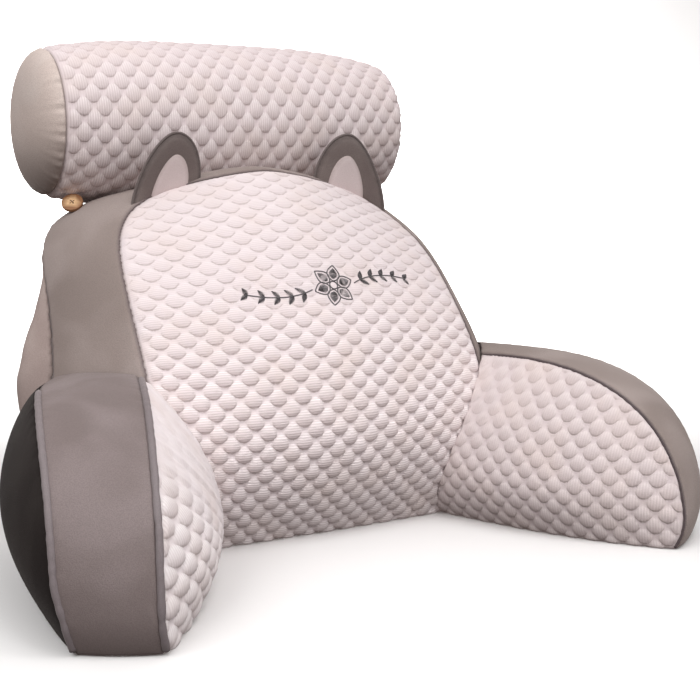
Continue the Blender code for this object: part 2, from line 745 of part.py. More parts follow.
def make_buttons(collection):
    """A round button at each end of the roll, sewn flat on the band."""
    _, rings = back_rings()
    for hand, word in ((-1, "left"), (1, "right")):
        row = BUTTON_ROW if hand < 0 else rings.shape[1] - 1 - BUTTON_ROW
        ring = BUTTON_RING
        across = rings[ring + 1, row] - rings[ring - 1, row]
        along = rings[ring, row + 1] - rings[ring, row - 1]
        normal = unit(np.cross(along, across)[None])[0]
        seat = rings[ring, row] + normal * (PLUSH + 3 * GAP + BUTTON_THICKNESS / 2)
        button = bmesh.new()
        bmesh.ops.create_cone(
            button,
            cap_ends=True,
            segments=24,
            radius1=BUTTON_RADIUS,
            radius2=BUTTON_RADIUS,
            depth=BUTTON_THICKNESS,
        )
        made = add(f"roll_button_{word}", button, "button", collection)
        made.rotation_mode = "QUATERNION"
        made.rotation_quaternion = Vector((0, 0, 1)).rotation_difference(Vector(normal))
        made.location = seat


# ---------------------------------------------------------------- the whole pillow


def main():
    for old in list(bpy.data.objects):
        bpy.data.objects.remove(old, do_unlink=True)
    pillow = bpy.data.collections.new("reading_pillow")
    cutters = bpy.data.collections.new("cutters")
    for collection in (pillow, cutters):
        bpy.context.scene.collection.children.link(collection)
    cutter = make_back(pillow, cutters)
    cutter.hide_render = True
    cutter.display_type = "WIRE"
    for name, hand, _ in ARMS:
        make_arm(name, hand, cutter, pillow)
        make_arm_piping(name, hand, pillow)
    make_roll(pillow)
    make_ears(cutter, pillow)
    make_buttons(pillow)


main()
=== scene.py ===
import math

import bmesh
import bpy
import numpy as np
from mathutils import Matrix, Vector, geometry


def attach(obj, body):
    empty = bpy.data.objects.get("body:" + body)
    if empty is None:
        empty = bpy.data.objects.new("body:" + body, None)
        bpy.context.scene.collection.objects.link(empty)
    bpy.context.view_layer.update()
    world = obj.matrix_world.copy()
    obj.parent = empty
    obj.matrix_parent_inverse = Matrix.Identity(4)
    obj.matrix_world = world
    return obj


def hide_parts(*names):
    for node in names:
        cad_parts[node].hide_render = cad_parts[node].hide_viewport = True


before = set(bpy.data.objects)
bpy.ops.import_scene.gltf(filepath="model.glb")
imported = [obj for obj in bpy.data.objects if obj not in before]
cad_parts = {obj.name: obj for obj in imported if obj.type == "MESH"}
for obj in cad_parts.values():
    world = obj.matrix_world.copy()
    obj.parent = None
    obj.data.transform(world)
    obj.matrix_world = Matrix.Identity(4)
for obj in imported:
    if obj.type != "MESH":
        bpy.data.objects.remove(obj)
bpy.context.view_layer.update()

bpy.ops.object.select_all(action="DESELECT")

# ------------------------------------------------------------------ the back cushion
# One filled cushion: a front of puffed bubble cloth, a plush band sewn round it and a plush panel
# behind. The panels are cut flat, sewn edge to edge and blown out by the filling.

SEAT_Y = -0.0758
BACK_HALF_WIDTH = 0.218
REAR_WIDENING = 1.32
BAND_DEPTH = 0.116
BAND_DROP = 0.018
BAND_PUFF = 0.010
REAR_PINCH = 0.045
REAR_PUFF = 0.085
REAR_TURN = math.radians(112)
REAR_SWELL = 1.12
REAR_SWELL_TOP = 0.88
ROLL_LENGTH = 0.518
ROLL_RADIUS = 0.104
ROLL_X = -0.003
ROLL_TAPER = 0.22
ROLL_CLEARANCE = 0.0055
END_DOME = 0.031
ROLL_Y = 0.307
ROLL_Z = 0.481
FRONT_PROFILE = (  # y, z of the front down its middle
    (0.018, 0.000),
    (-0.015, 0.045),
    (-0.039, 0.115),
    (-0.019, 0.205),
    (0.030, 0.290),
    (0.088, 0.365),
    (0.160, 0.427),
)
FRONT_SQUARENESS = (6.9, 4.9)
SIDE_FALL = (0.023, 0.070)
BACK_REPEAT = (0.0301, 0.0254)
BACK_CUP = (0.35, 0.375, 0.46)
BACK_BUBBLE_RISE = 0.0034
BACK_ARCH = 221  # points along the seam of the back's arch
CLOTH_STEP = 0.0054  # how fine the panels of bubble cloth are divided
PLUSH_THICKNESS = 0.0012
SEAM_SINK = 0.0014  # how deep plush sinks into a seam, and over how far
SEAM_EDGE = 0.005
STRETCH = (  # whole repeats, for 1, up, up**2, across, across * up and across**2
    (2.58, -0.70, 0.04, 6.64, -0.91, -0.11),
    (0.36, 9.84, -0.03, 0.05, 0.29, -0.32),
)


def unit(vectors):
    return vectors / np.maximum(np.linalg.norm(vectors, axis=-1, keepdims=True), 1e-9)


def length_along(line):
    """The length from a line's start to each of its points."""
    return np.concatenate([[0], np.cumsum(np.linalg.norm(np.diff(line, axis=0), axis=1))])


def even_spacing(line, count):
    """The same line with its points evenly spaced."""
    length = length_along(line)
    at = np.linspace(0, length[-1], count)
    return np.stack([np.interp(at, length, line[:, k]) for k in range(line.shape[1])], -1)


def smooth_curve(rows, count=400):
    """A dense curve through the rows of a table, and its arc length at each point."""
    knots = np.array(rows, float)
    at = length_along(knots)
    slopes = np.gradient(knots, at, axis=0)
    where = np.linspace(0, at[-1], count)
    i = np.clip(np.searchsorted(at, where, side="right") - 1, 0, len(at) - 2)
    span = (at[i + 1] - at[i])[:, None]
    u = (where - at[i])[:, None] / span
    points = (
        (2 * u**3 - 3 * u**2 + 1) * knots[i]
        + (u**3 - 2 * u**2 + u) * span * slopes[i]
        + (3 * u**2 - 2 * u**3) * knots[i + 1]
        + (u**3 - u**2) * span * slopes[i + 1]
    )
    return points, length_along(points)


def distance_to(points, line):
    """How far each flat point is from a line of points."""
    start, run = line[:-1], np.diff(line, axis=0)
    found = []
    for some in np.array_split(points, max(1, len(points) // 1500)):
        offset = some[:, None, :] - start[None]
        along = np.clip((offset * run).sum(-1) / np.maximum((run**2).sum(-1), 1e-12), 0, 1)
        found.append(np.linalg.norm(offset - along[..., None] * run, axis=-1).min(1))
    return np.concatenate(found)


def within(points, outline):
    """Which flat points lie inside a closed outline."""
    ends = np.roll(outline, -1, axis=0)
    rise = np.where(ends[:, 1] == outline[:, 1], 1e-12, ends[:, 1] - outline[:, 1])
    crosses = (outline[:, 1] > points[:, None, 1]) != (ends[:, 1] > points[:, None, 1])
    reach = outline[:, 0] + (points[:, None, 1] - outline[:, 1]) / rise * (ends - outline)[:, 0]
    return (crosses & (points[:, None, 0] < reach)).sum(1) % 2 == 1


def cut_panel(outline, step):
    """A panel cut from cloth: its flat points, the outline's own first, and its faces."""
    low, high = outline.min(0), outline.max(0)
    columns, rows = np.arange(low[0], high[0], step), np.arange(low[1], high[1], step * 0.866)
    flat = np.stack(np.meshgrid(columns, rows), -1)
    flat[1::2, :, 0] += step / 2
    flat = flat.reshape(-1, 2)
    flat = flat[within(flat, outline)]
    flat = flat[distance_to(flat, np.vstack([outline, outline[:1]])) > 0.6 * step]
    pattern = np.concatenate([outline, flat])
    count = len(outline)
    loop = [(n, (n + 1) % count) for n in range(count)]
    found = geometry.delaunay_2d_cdt(
        [tuple(p) for p in pattern], loop, [list(range(count))], 1, 1e-8
    )
    source = [origins[0] for origins in found[3]]
    return pattern, [[source[v] for v in face] for face in found[2]]


def strip(rings):
    """Points and faces of a surface through rings of equal length."""
    count = len(rings[0])
    faces = [
        (r * count + n, r * count + n + 1, (r + 1) * count + n + 1, (r + 1) * count + n)
        for r in range(len(rings) - 1)
        for n in range(count - 1)
    ]
    return np.concatenate(rings), faces


def new_piece(name, made, closed=True):
    """A piece from a bmesh; a closed one has its faces turned outwards."""
    if closed:
        bmesh.ops.recalc_face_normals(made, faces=made.faces)
        if made.calc_volume(signed=True) < 0:
            bmesh.ops.reverse_faces(made, faces=made.faces)
    mesh = bpy.data.meshes.new(name)
    made.to_mesh(mesh)
    made.free()
    piece = bpy.data.objects.new(name, mesh)
    bpy.context.scene.collection.objects.link(piece)
    return piece


def sewn(name, panels):
    """One closed piece from panels: points, faces, place on the cloth and distance to the seam."""
    made = bmesh.new()
    seam = made.verts.layers.float.new("seam")
    cloth = made.loops.layers.uv.new("cloth")
    for index, (points, faces, flat, edge) in enumerate(panels):
        verts = []
        for point, far in zip(points, edge):
            vert = made.verts.new(point)
            vert[seam] = far
            verts.append(vert)
        for face in faces:
            new = made.faces.new([verts[i] for i in face])
            new.material_index = index
            new.smooth = True
            for loop, i in zip(new.loops, face):
                loop[cloth].uv = flat[i]
    bmesh.ops.remove_doubles(made, verts=made.verts, dist=1e-5)
    return new_piece(name, made)


def read(items, key, width=1, kind=np.float32):
    """One value, or a row of values, for each of a mesh's items."""
    flat = np.empty(len(items) * width, kind)
    items.foreach_get(key, flat)
    return flat.reshape(-1, width) if width > 1 else flat


def points_of(piece):
    return read(piece.data.vertices, "co", 3).astype(float)


def normals_of(piece):
    return read(piece.data.vertex_normals, "vector", 3).astype(float)


def value_of(piece, name):
    return read(piece.data.attributes[name].data, "value").astype(float)


def move_points(piece, points):
    points[:, 2] = np.maximum(points[:, 2], 0.0004)  # clear of the floor
    piece.data.vertices.foreach_set("co", points.astype(np.float32).ravel())
    piece.data.update()


def corners_of(mesh, index):
    """Which of a mesh's corners belong to one panel."""
    panel = read(mesh.polygons, "material_index", kind=np.int32)
    return np.repeat(panel, read(mesh.polygons, "loop_total", kind=np.int32)) == index


def panel_points(piece, index):
    """Each point's place on the cloth of one panel, and which points that panel holds."""
    mesh = piece.data
    here = corners_of(mesh, index)
    corner = read(mesh.loops, "vertex_index", kind=np.int32)[here]
    place = np.zeros((len(mesh.vertices), 2))
    held = np.zeros(len(mesh.vertices), bool)
    place[corner] = read(mesh.uv_layers["cloth"].data, "uv", 2)[here]
    held[corner] = True
    return place, held


def apply_all(piece):
    bpy.context.view_layer.objects.active = piece
    for modifier in list(piece.modifiers):
        bpy.ops.object.modifier_apply(modifier=modifier.name)


def plump(piece, cap):
    """Blows the sewn cover out with its filling, held along its seams; none moves beyond cap."""
    before = points_of(piece)
    held = (value_of(piece, "seam") < 0.001) | (before[:, 2] < 0.002)
    seams = piece.vertex_groups.new(name="seams")
    seams.add([int(i) for i in np.nonzero(held)[0]], 1.0, "REPLACE")
    cloth = piece.modifiers.new("filling", "CLOTH")
    cloth.settings.quality = 5
    cloth.settings.vertex_group_mass = "seams"
    cloth.settings.use_pressure = True
    cloth.settings.uniform_pressure_force = 4
    cloth.settings.effector_weights.gravity = 0
    cloth.point_cache.frame_end = 20
    for number in range(1, 21):
        bpy.context.scene.frame_set(number)
    filled = piece.evaluated_get(bpy.context.evaluated_depsgraph_get())
    after = np.array([v.co for v in filled.data.vertices])
    piece.modifiers.remove(cloth)
    bpy.context.scene.frame_set(1)
    moved = after - before
    far = np.linalg.norm(moved, axis=1, keepdims=True)
    moved *= cap * np.tanh(far / cap) / np.maximum(far, 1e-9)
    move_points(piece, before + moved)
    piece.vertex_groups.clear()


def round_off(piece):
    """One subdivision, so the cover runs in curves between its seams."""
    finer = piece.modifiers.new("finer", "SUBSURF")
    finer.levels = finer.render_levels = 1
    finer.boundary_smooth = "PRESERVE_CORNERS"
    finer.uv_smooth = "NONE"
    apply_all(piece)


def fade(value, start, end):
    """0 before start, 1 after end, and a smooth rise between."""
    share = np.clip((value - start) / (end - start), 0, 1)
    return share * share * (3 - 2 * share)


def bubbles(turns, width, below, above):
    """Height of the puffed bubbles, 0 to 1, from (across, up) in whole repeats of the pattern.

    Each bubble is egg-shaped: a round cup below, and narrower and lower towards its top."""
    one, two = turns[:, 0] + turns[:, 1], turns[:, 0] - turns[:, 1]
    best = np.zeros(len(turns))
    for i in (0, 1):
        for j in (0, 1):
            right, left = one - np.floor(one) - i, two - np.floor(two) - j
            across, up = (right + left) / 2 / width, (right - left) / 2
            low = np.clip(1 - across**2 - (up / below) ** 2, 0, 1) ** 0.42
            top = np.clip(up / above, 0, 1)
            narrow = 1 - 0.25 * top
            high = np.clip(1 - (across / narrow) ** 2 - top**2, 0, 1) ** (0.42 + 0.2 * top) * narrow
            best = np.maximum(best, np.where(up < 0, low, high))
    return best


def mark_bubbles(piece, height):
    """Keeps how far each point is raised, for the cloth's colour and ribs."""
    raised = piece.data.attributes.new("bubble", "FLOAT", "POINT")
    raised.data.foreach_set("value", height.astype(np.float32))


def wander(value, *lengths):
    """A smooth uneven wave along a length in metres, about -1 to 1."""
    total = sum(np.sin(2 * math.pi * value / length + 1.7 * n) for n, length in enumerate(lengths))
    return total / len(lengths)


def cover_panel(name, shell, index, puckers=0.0009, reach=0.009):
    """A plush panel of the cover on the filled shell: it rolls down and puckers into its seams."""
    made = bmesh.new()
    made.from_mesh(shell.data)
    others = [face for face in made.faces if face.material_index != index]
    bmesh.ops.delete(made, geom=others, context="FACES")
    for face in made.faces:
        face.material_index = 0
    piece = new_piece(name, made, closed=False)
    far = value_of(piece, "seam")
    along = panel_points(piece, 0)[0].sum(1)
    rucked = puckers * wander(along, 0.019, 0.031, 0.0127) * fade(far, 0, 0.003)
    drop = -SEAM_SINK * (1 - np.sqrt(np.clip(far / SEAM_EDGE, 0, 1)))
    drop += rucked * np.exp(-far / reach)
    move_points(piece, points_of(piece) + normals_of(piece) * drop[:, None])
    wall = piece.modifiers.new("cloth thickness", "SOLIDIFY")
    wall.thickness = PLUSH_THICKNESS
    wall.offset = -1
    apply_all(piece)
    return piece


def sink_under(piece, indexes, depth=0.0030):
    """Lays the filled shell lower where other panels cover it, and along its seams."""
    far = value_of(piece, "seam")
    under = np.zeros(len(far), bool)
    for index in indexes:
        under |= panel_points(piece, index)[1]
    seam = np.clip(1 - far / 0.007, 0, 1) ** 2
    down = np.where(under, 1.0, seam)
    move_points(piece, points_of(piece) - normals_of(piece) * depth * down[:, None])


_front_curve, _front_length = smooth_curve(FRONT_PROFILE)
_front_slope = unit(np.gradient(_front_curve, _front_length, axis=0))
FRONT_HEIGHT = _front_length[-1]


def roll_radius(x):
    share = np.clip(np.abs(x - ROLL_X) / (ROLL_LENGTH / 2), 0, 1)
    return ROLL_RADIUS * (1 - ROLL_TAPER * share**3.5)


def clear_of_roll(points, clearance=ROLL_CLEARANCE):
    """Presses a surface down where the neck roll lies on it."""
    points = np.array(points, float)
    across = points[:, 1] - (SEAT_Y + ROLL_Y)
    above = points[:, 2] - ROLL_Z
    distance = np.hypot(across, above)
    reach = roll_radius(points[:, 0]) + clearance
    near = np.abs(points[:, 0] - ROLL_X) < ROLL_LENGTH / 2
    push = np.where(near, np.maximum(reach / distance, 1), 1)
    points[:, 1] = SEAT_Y + ROLL_Y + across * push
    points[:, 2] = ROLL_Z + above * push
    return points


def front_point(flat):
    """Position on the front of the back, from (across, up the cloth)."""
    x, up = flat[:, 0], flat[:, 1]
    share = np.clip(up / FRONT_HEIGHT, 0, 1)
    y, z, slope_y, slope_z = (
        np.interp(up, _front_length, column) for column in (*_front_curve.T, *_front_slope.T)
    )
    fall = SIDE_FALL[0] + (SIDE_FALL[1] - SIDE_FALL[0]) * share**2
    fall = fall * (np.abs(x) / BACK_HALF_WIDTH) ** 1.5
    fall = fall * np.sqrt(np.clip(up / 0.08, 0, 1)) + 0.004 * share**8
    return np.stack([x, SEAT_Y + y + fall * slope_z, z - fall * slope_y], -1)


def back_rings(count, rows):
    """The flat outline of the front, and rings of the band from the front seam to the rear one."""
    turn = np.linspace(math.pi, 0, count)
    across = np.sign(np.cos(turn)) * np.abs(np.cos(turn)) ** (2 / FRONT_SQUARENESS[0])
    up = np.clip(np.sin(turn), 0, 1) ** (2 / FRONT_SQUARENESS[1])
    arch = even_spacing(np.stack([BACK_HALF_WIDTH * across, FRONT_HEIGHT * up], -1), count)
    front = front_point(arch)
    height = front[:, 2] / front[:, 2].max()
    shoulder = np.sin(math.pi * np.clip((height - 0.45) / 0.45, 0, 1))
    rear = front.copy()
    rear[:, 0] *= REAR_WIDENING * (1 - REAR_PINCH * shoulder)
    rear[:, 1] += BAND_DEPTH
    rear[:, 2] -= BAND_DROP * height**2
    out = unit(front * [1, 0, 1])
    rings = []
    for share in np.linspace(0, 1, rows):
        ring = front + (rear - front) * share + out * BAND_PUFF * 4 * share * (1 - share)
        ring[[0, -1], 2] = 0
        rings.append(clear_of_roll(ring))
    return arch, rings


def rear_place(ring, flat):
    """The rear panel over its seam: (x, z) to a position, puffed out backwards."""
    half = len(ring) // 2 + 1
    z, x, y = np.maximum.accumulate(ring[:half, 2]), np.abs(ring[:half, 0]), ring[:half, 1]
    half_width = np.interp(flat[:, 1], z, x)
    turn = np.clip(flat[:, 0] / np.maximum(half_width, 0.03), -1, 1) * REAR_TURN
    share = np.clip(flat[:, 1] / z[-1], 0, 1)
    puff = REAR_PUFF * (1 - share**5) * (0.62 + 0.38 * np.clip(flat[:, 1] / 0.14, 0, 1) ** 0.7)
    depth = np.interp(flat[:, 1], z, y) + puff * (np.cos(turn) - math.cos(REAR_TURN))
    swell = REAR_SWELL * np.sin(math.pi * np.clip(share / REAR_SWELL_TOP, 0, 1)) ** 0.6
    swell *= np.sin(np.abs(turn)) / math.sin(REAR_TURN) - np.abs(turn) / REAR_TURN
    across = flat[:, 0] + swell * half_width * np.sign(flat[:, 0])
    return clear_of_roll(np.stack([across, depth, flat[:, 1]], -1))


def back_shell(name, count, step, rear_step, rows):
    arch, rings = back_rings(count, rows)
    across = round(2 * BACK_HALF_WIDTH / step)
    foot = np.stack([np.linspace(BACK_HALF_WIDTH, -BACK_HALF_WIDTH, across), np.zeros(across)], -1)
    flat, faces = cut_panel(np.concatenate([arch, foot[1:-1]]), step)
    points = front_point(flat)
    points[: len(arch)] = rings[0]
    front_foot = points[len(arch) : len(arch) + across - 2][::-1]
    front = (points, faces, flat, distance_to(flat, arch))
    points, faces = strip(rings)
    length = length_along(rings[0])
    shares = np.linspace(0, 1, rows)
    flat = np.stack([np.tile(length, rows), np.repeat(shares * BAND_DEPTH, count)], -1)
    far = np.repeat(np.minimum(shares, 1 - shares) * BAND_DEPTH, count)
    band = (points, faces, flat, far)
    rear = rings[-1]
    foot = np.stack([np.linspace(rear[-1, 0], rear[0, 0], across), np.zeros(across)], -1)
    flat, faces = cut_panel(np.concatenate([rear[:, [0, 2]], foot[1:-1]]), rear_step)
    points = rear_place(rear, flat)
    points[:count] = rear
    rear_foot = points[count : count + across - 2][::-1]
    behind = (points, faces, flat, distance_to(flat, rear[:, [0, 2]]))
    front_line = np.concatenate([rings[0][:1], front_foot, rings[0][-1:]])
    rear_line = np.concatenate([rear[:1], rear_foot, rear[-1:]])
    sole = [front_line]
    for ring in rings[1:-1]:
        share = (ring[0, 1] - front_line[0, 1]) / (rear_line[0, 1] - front_line[0, 1])
        line = front_line + (rear_line - front_line) * share
        line[[0, -1]] = ring[[0, -1]]
        sole.append(line)
    points, faces = strip([*sole, rear_line])
    under = (points, faces, points[:, :2], np.full(len(points), 0.1))
    return sewn(name, [front, band, behind, under])


# The sprig on the front is laid out first, since the bubbles lie flatter near its stitches.
SPRIG_PLACE = (0.022, 0.322)
PETALS = 6
STEMS = (  # start, middle and end of each stem, in metres from the flower
    ((-0.030, -0.005), (-0.066, -0.020), (-0.112, -0.002)),
    ((0.030, 0.003), (0.066, 0.022), (0.114, 0.014)),
)


def leaf_outline(root, heading, length, width, count=25):
    """A closed pointed leaf from its root."""
    share = np.linspace(0, 1, count)
    half = width / 2 * np.sin(math.pi * share**0.8) ** 0.9
    ahead = np.array([math.cos(heading), math.sin(heading)])
    beside = np.array([-ahead[1], ahead[0]])
    middle = np.array(root) + ahead * (length * share)[:, None]
    return middle + beside * half[:, None], middle - beside * half[:, None]


def satin(one, two, spacing):
    """Thread laid to and fro between two edges."""
    length = np.linalg.norm(np.diff((one + two) / 2, axis=0), axis=1).sum()
    count = max(4, int(length / spacing) * 2)
    one, two = even_spacing(one, count), even_spacing(two, count)
    return np.where((np.arange(count) % 2 == 0)[:, None], one, two)


dark_runs, grey_runs = [], []
for n in range(PETALS):
    heading = 2 * math.pi * (n + 0.25) / PETALS
    root = 0.0060 * np.array([math.cos(heading), math.sin(heading)])
    one, two = leaf_outline(root, heading, 0.0215, 0.0160)
    dark_runs.append(np.concatenate([one, two[::-1]]))
    grey_runs.append(satin(*leaf_outline(root * 1.5, heading, 0.0142, 0.0102), 0.0009))
ring = np.linspace(0, 2 * math.pi, 17)
dark_runs.append(0.0052 * np.stack([np.cos(ring), np.sin(ring)], -1))
for start, middle, end in STEMS:
    share = np.linspace(0, 1, 30)[:, None]
    start, middle, end = (np.array(point) for point in (start, middle, end))
    stem = start * (1 - share) ** 2 + 2 * middle * share * (1 - share) + end * share**2
    dark_runs.append(stem)
    for n in (4, 10, 16, 22, 28):
        heading = math.atan2(*(stem[n + 1] - stem[n])[::-1])
        for side in (-1, 1):
            edges = leaf_outline(stem[n], heading + side * 0.85, 0.0135 - 0.00012 * n, 0.0052)
            dark_runs.append(satin(*edges, 0.0010))
dark_runs = [run + SPRIG_PLACE for run in dark_runs]
grey_runs = [run + SPRIG_PLACE for run in grey_runs]
sprig_points = np.concatenate(dark_runs + grey_runs)

back = back_shell("back_filled_cushion", BACK_ARCH, CLOTH_STEP, rear_step=0.0105, rows=15)
plump(back, 0.004)
# What the arms are cut back to: the sewn back grown a little, with its foot below the floor.
clearance = back.copy()
clearance.data = back.data.copy()
bpy.context.scene.collection.objects.link(clearance)
move_points(clearance, points_of(clearance) + 0.0030 * normals_of(clearance))
grown = points_of(clearance)
grown[grown[:, 2] < 0.006, 2] -= 0.004
clearance.data.vertices.foreach_set("co", grown.astype(np.float32).ravel())
round_off(back)
back_band = cover_panel("back_plush_band", back, 1)
back_rear = cover_panel("back_rear_plush_panel", back, 2)
sink_under(back, (1, 2))


def stretched(flat):
    """The bubbles' place in whole repeats: the filling stretches the cloth, most near the top."""
    across, up = flat[:, 0] / 0.2, (flat[:, 1] - 0.25) / 0.25
    terms = np.stack([np.ones(len(flat)), up, up**2, across, across * up, across**2], -1)
    return terms @ np.transpose(STRETCH)


def recut(piece, index, change):
    """Moves each point's place on the cloth of one panel."""
    cloth, here = piece.data.uv_layers["cloth"].data, corners_of(piece.data, index)
    flat = read(cloth, "uv", 2)
    flat[here] = change(flat[here].astype(float))
    cloth.foreach_set("uv", flat.ravel())


on_cloth, in_front = panel_points(back, 0)
edge = value_of(back, "seam")
recut(back, 0, lambda flat: stretched(flat) * BACK_REPEAT)
height = bubbles(stretched(on_cloth), *BACK_CUP) * fade(edge, 0.002, 0.011)
near_sprig = np.full(len(on_cloth), 1.0)
candidates = np.nonzero(in_front & (np.abs(on_cloth[:, 1] - SPRIG_PLACE[1]) < 0.05))[0]
for some in np.array_split(candidates, 40):
    gap = np.linalg.norm(on_cloth[some][:, None] - sprig_points[None], axis=-1).min(1)
    near_sprig[some] = 0.25 + 0.75 * fade(gap, 0.0015, 0.008)
height *= near_sprig
mark_bubbles(back, height * in_front)
height *= 1 - 0.55 * fade(on_cloth[:, 1], 0.20, 0.36)
height *= 1 + 0.15 * wander(on_cloth.sum(1), 0.11, 0.071)
height *= np.where(in_front, BACK_BUBBLE_RISE, 0)
move_points(back, points_of(back) + height[:, None] * normals_of(back))


SMOOTH = {"interpolation_type": "SMOOTHSTEP"}
MIX = {"out": 2, "data_type": "RGBA"}
WAVE = 0.314  # a wave texture's scale times the spacing of its bands


def srgb(code):
    """A colour written as sRGB hex, as linear red, green, blue and alpha."""
    parts = [int(code[i : i + 2], 16) / 255 for i in (1, 3, 5)]
    return [c / 12.92 if c <= 0.04045 else ((c + 0.055) / 1.055) ** 2.4 for c in parts] + [1]


def node(tree, kind, inputs=(), out=0, **settings):
    """Adds a node with its settings and links, and gives one of its outputs.

    The inputs are in the node's own order or named; each is a value or another output."""
    made = tree.nodes.new("ShaderNode" + kind)
    for key, value in settings.items():
        setattr(made, key, value)
    for socket, value in inputs.items() if isinstance(inputs, dict) else enumerate(inputs):
        if isinstance(value, bpy.types.NodeSocket):
            tree.links.new(value, made.inputs[socket])
        else:
            made.inputs[socket].default_value = value
    return made.outputs[out]


def new_material(name, **constants):
    """A material with its shader's own values set; returns it, its tree and its shader."""
    made = bpy.data.materials.new(name)
    made.use_nodes = True
    shader = made.node_tree.nodes["Principled BSDF"]
    for socket, value in constants.items():
        shader.inputs[socket.replace("_", " ")].default_value = value
    return made, made.node_tree, shader


# Jacquard knit of polyester: soft white valleys round quilted domes, matt with a faint bloom, and
# fine ribs that run along each dome.
def bubble_cloth(name, repeat, cup, ribs, tones, rib_tone, foot_shadow_tone, calm=(9, 10)):
    """The cloth, its bubbles in repeats of this size; ribs is X or Y, the way across the ribs.

    The tones are the ground's, a bubble's top and its foot; the top is painted lighter and the foot
    darker, as painted light and shade from above. The two numbers after them set how strongly the
    ribs show and how dark the painted shadow along each bubble's lower rim is. Between the two
    heights of calm the bubbles turn as pale as the ground."""
    made, tree, shader = new_material(
        name, Roughness=0.95, Sheen_Weight=0.12, Sheen_Roughness=0.6, Specular_IOR_Level=0.08
    )
    flat = node(tree, "UVMap", uv_map="cloth")
    raised = node(tree, "Attribute", out="Fac", attribute_name="bubble")
    dome = node(tree, "MapRange", (raised, 0.05, 0.50), **SMOOTH)
    # Where this point lies in its own bubble: across and up from the bubble's middle.
    scale = (1 / repeat[0], 1 / repeat[1], 1)
    turns = node(tree, "VectorMath", (flat, scale), operation="MULTIPLY")
    x, y, _ = node(tree, "SeparateXYZ", (turns,)).node.outputs
    one = node(tree, "Math", (x, y), operation="ADD")
    two = node(tree, "Math", (x, y), operation="SUBTRACT")
    lattice = node(tree, "CombineXYZ", (one, two))
    cells = {"Vector": lattice, "Scale": 1.0, "Randomness": 0.0}
    centre = node(tree, "TexVoronoi", cells, "Position", voronoi_dimensions="2D")
    away = node(tree, "VectorMath", (lattice, centre), operation="SUBTRACT")
    x, y, _ = node(tree, "SeparateXYZ", (away,)).node.outputs
    across = node(tree, "Math", (x, y), operation="ADD")
    up = node(tree, "Math", (x, y), operation="SUBTRACT")
    # Painted light and shade: each bubble's top is painted lighter and its foot darker, as if lit
    # from above.
    under = node(tree, "MapRange", (up, 0.6, -0.7))
    dome_lit_and_shaded = node(tree, "Mix", {0: under, 6: srgb(tones[1]), 7: srgb(tones[2])}, **MIX)
    level = node(tree, "SeparateXYZ", (flat,), 1)
    strong = node(tree, "MapRange", (level, *calm, 1.0, 0.3))
    toned = node(tree, "Math", (dome, strong), operation="MULTIPLY")
    shade = node(tree, "Mix", {0: toned, 6: srgb(tones[0]), 7: dome_lit_and_shaded}, **MIX)
    blotch = node(tree, "TexNoise", {"Vector": flat, "Scale": 16.0, "Detail": 3.0})
    warm = node(tree, "MapRange", (blotch, 0.45, 0.75, 0.0, 0.5))
    shade = node(tree, "Mix", {0: warm, 6: shade, 7: srgb("#e0cfc8")}, **MIX)

    # Painted shadow: the cloth is darkened along the lower rim of each bubble's foot, where the
    # bubble's own shade falls. The same rim also deepens the bump.
    across = node(tree, "Math", (across, 0.5 / cup[0]), operation="MULTIPLY")
    down = node(tree, "Math", (up, 0.5 / cup[1]), operation="MULTIPLY")
    down = node(tree, "Math", (down, 0.0), operation="MINIMUM")
    square = node(tree, "Math", (across, across), operation="MULTIPLY")
    ring = node(tree, "Math", (down, down, square), operation="MULTIPLY_ADD")
    off_rim = node(tree, "Math", (ring, 0.96), operation="SUBTRACT")
    off_rim = node(tree, "Math", (off_rim,), operation="ABSOLUTE")
    rim = node(tree, "MapRange", (off_rim, 0.34, 0.0), **SMOOTH)
    low = node(tree, "MapRange", (down, 0.0, -0.55), **SMOOTH)
    near_rim = node(tree, "MapRange", (raised, 0.03, 0.30))
    rim = node(tree, "Math", (rim, low), operation="MULTIPLY")
    rim = node(tree, "Math", (rim, near_rim), operation="MULTIPLY")
    painted_shadow = node(tree, "Math", (rim, foot_shadow_tone), operation="MULTIPLY")
    shade = node(tree, "Mix", {0: painted_shadow, 6: shade, 7: srgb("#a8948f")}, **MIX)

    # The ribs are about 1 mm apart on the real cloth, and are drawn 2.8 mm apart so that they show.
    wave = {"Vector": flat, "Scale": WAVE / 0.0028, "Distortion": 0.5, "Detail": 1.0}
    wave["Detail Scale"] = 0.6
    rib = node(tree, "TexWave", wave, "Fac", bands_direction=ribs)
    spread = node(tree, "Math", (toned, 0.65, 0.35), operation="MULTIPLY_ADD")
    ribbed = node(tree, "Math", (rib, spread), operation="MULTIPLY")
    ribbed = node(tree, "Math", (ribbed, rib_tone / 0.3), operation="MULTIPLY")
    line = node(tree, "MapRange", (ribbed, 0.1, 0.8, 0.0, 0.34))
    shade = node(tree, "Mix", {0: line, 6: shade, 7: srgb("#b5a3a2")}, **MIX)
    # Painted shade: within 3 mm of a seam the cloth is darkened, as shade in the seam's crease.
    far = node(tree, "Attribute", out="Fac", attribute_name="seam")
    near = node(tree, "MapRange", (far, 0.003, 0.0, 0.0, 0.6))
    shade = node(tree, "Mix", {0: near, 6: shade, 7: srgb("#8d7d79")}, **MIX)
    grain = node(tree, "TexNoise", {"Vector": flat, "Scale": 600.0, "Detail": 2.0})
    surface = node(tree, "Math", (grain, 0.8, ribbed), operation="MULTIPLY_ADD")
    surface = node(tree, "Math", (rim, -1.6, surface), operation="MULTIPLY_ADD")
    bump = node(tree, "Bump", {"Height": surface, "Strength": 0.7, "Distance": 0.0004})
    tree.links.new(shade, shader.inputs["Base Color"])
    tree.links.new(bump, shader.inputs["Normal"])
    return made
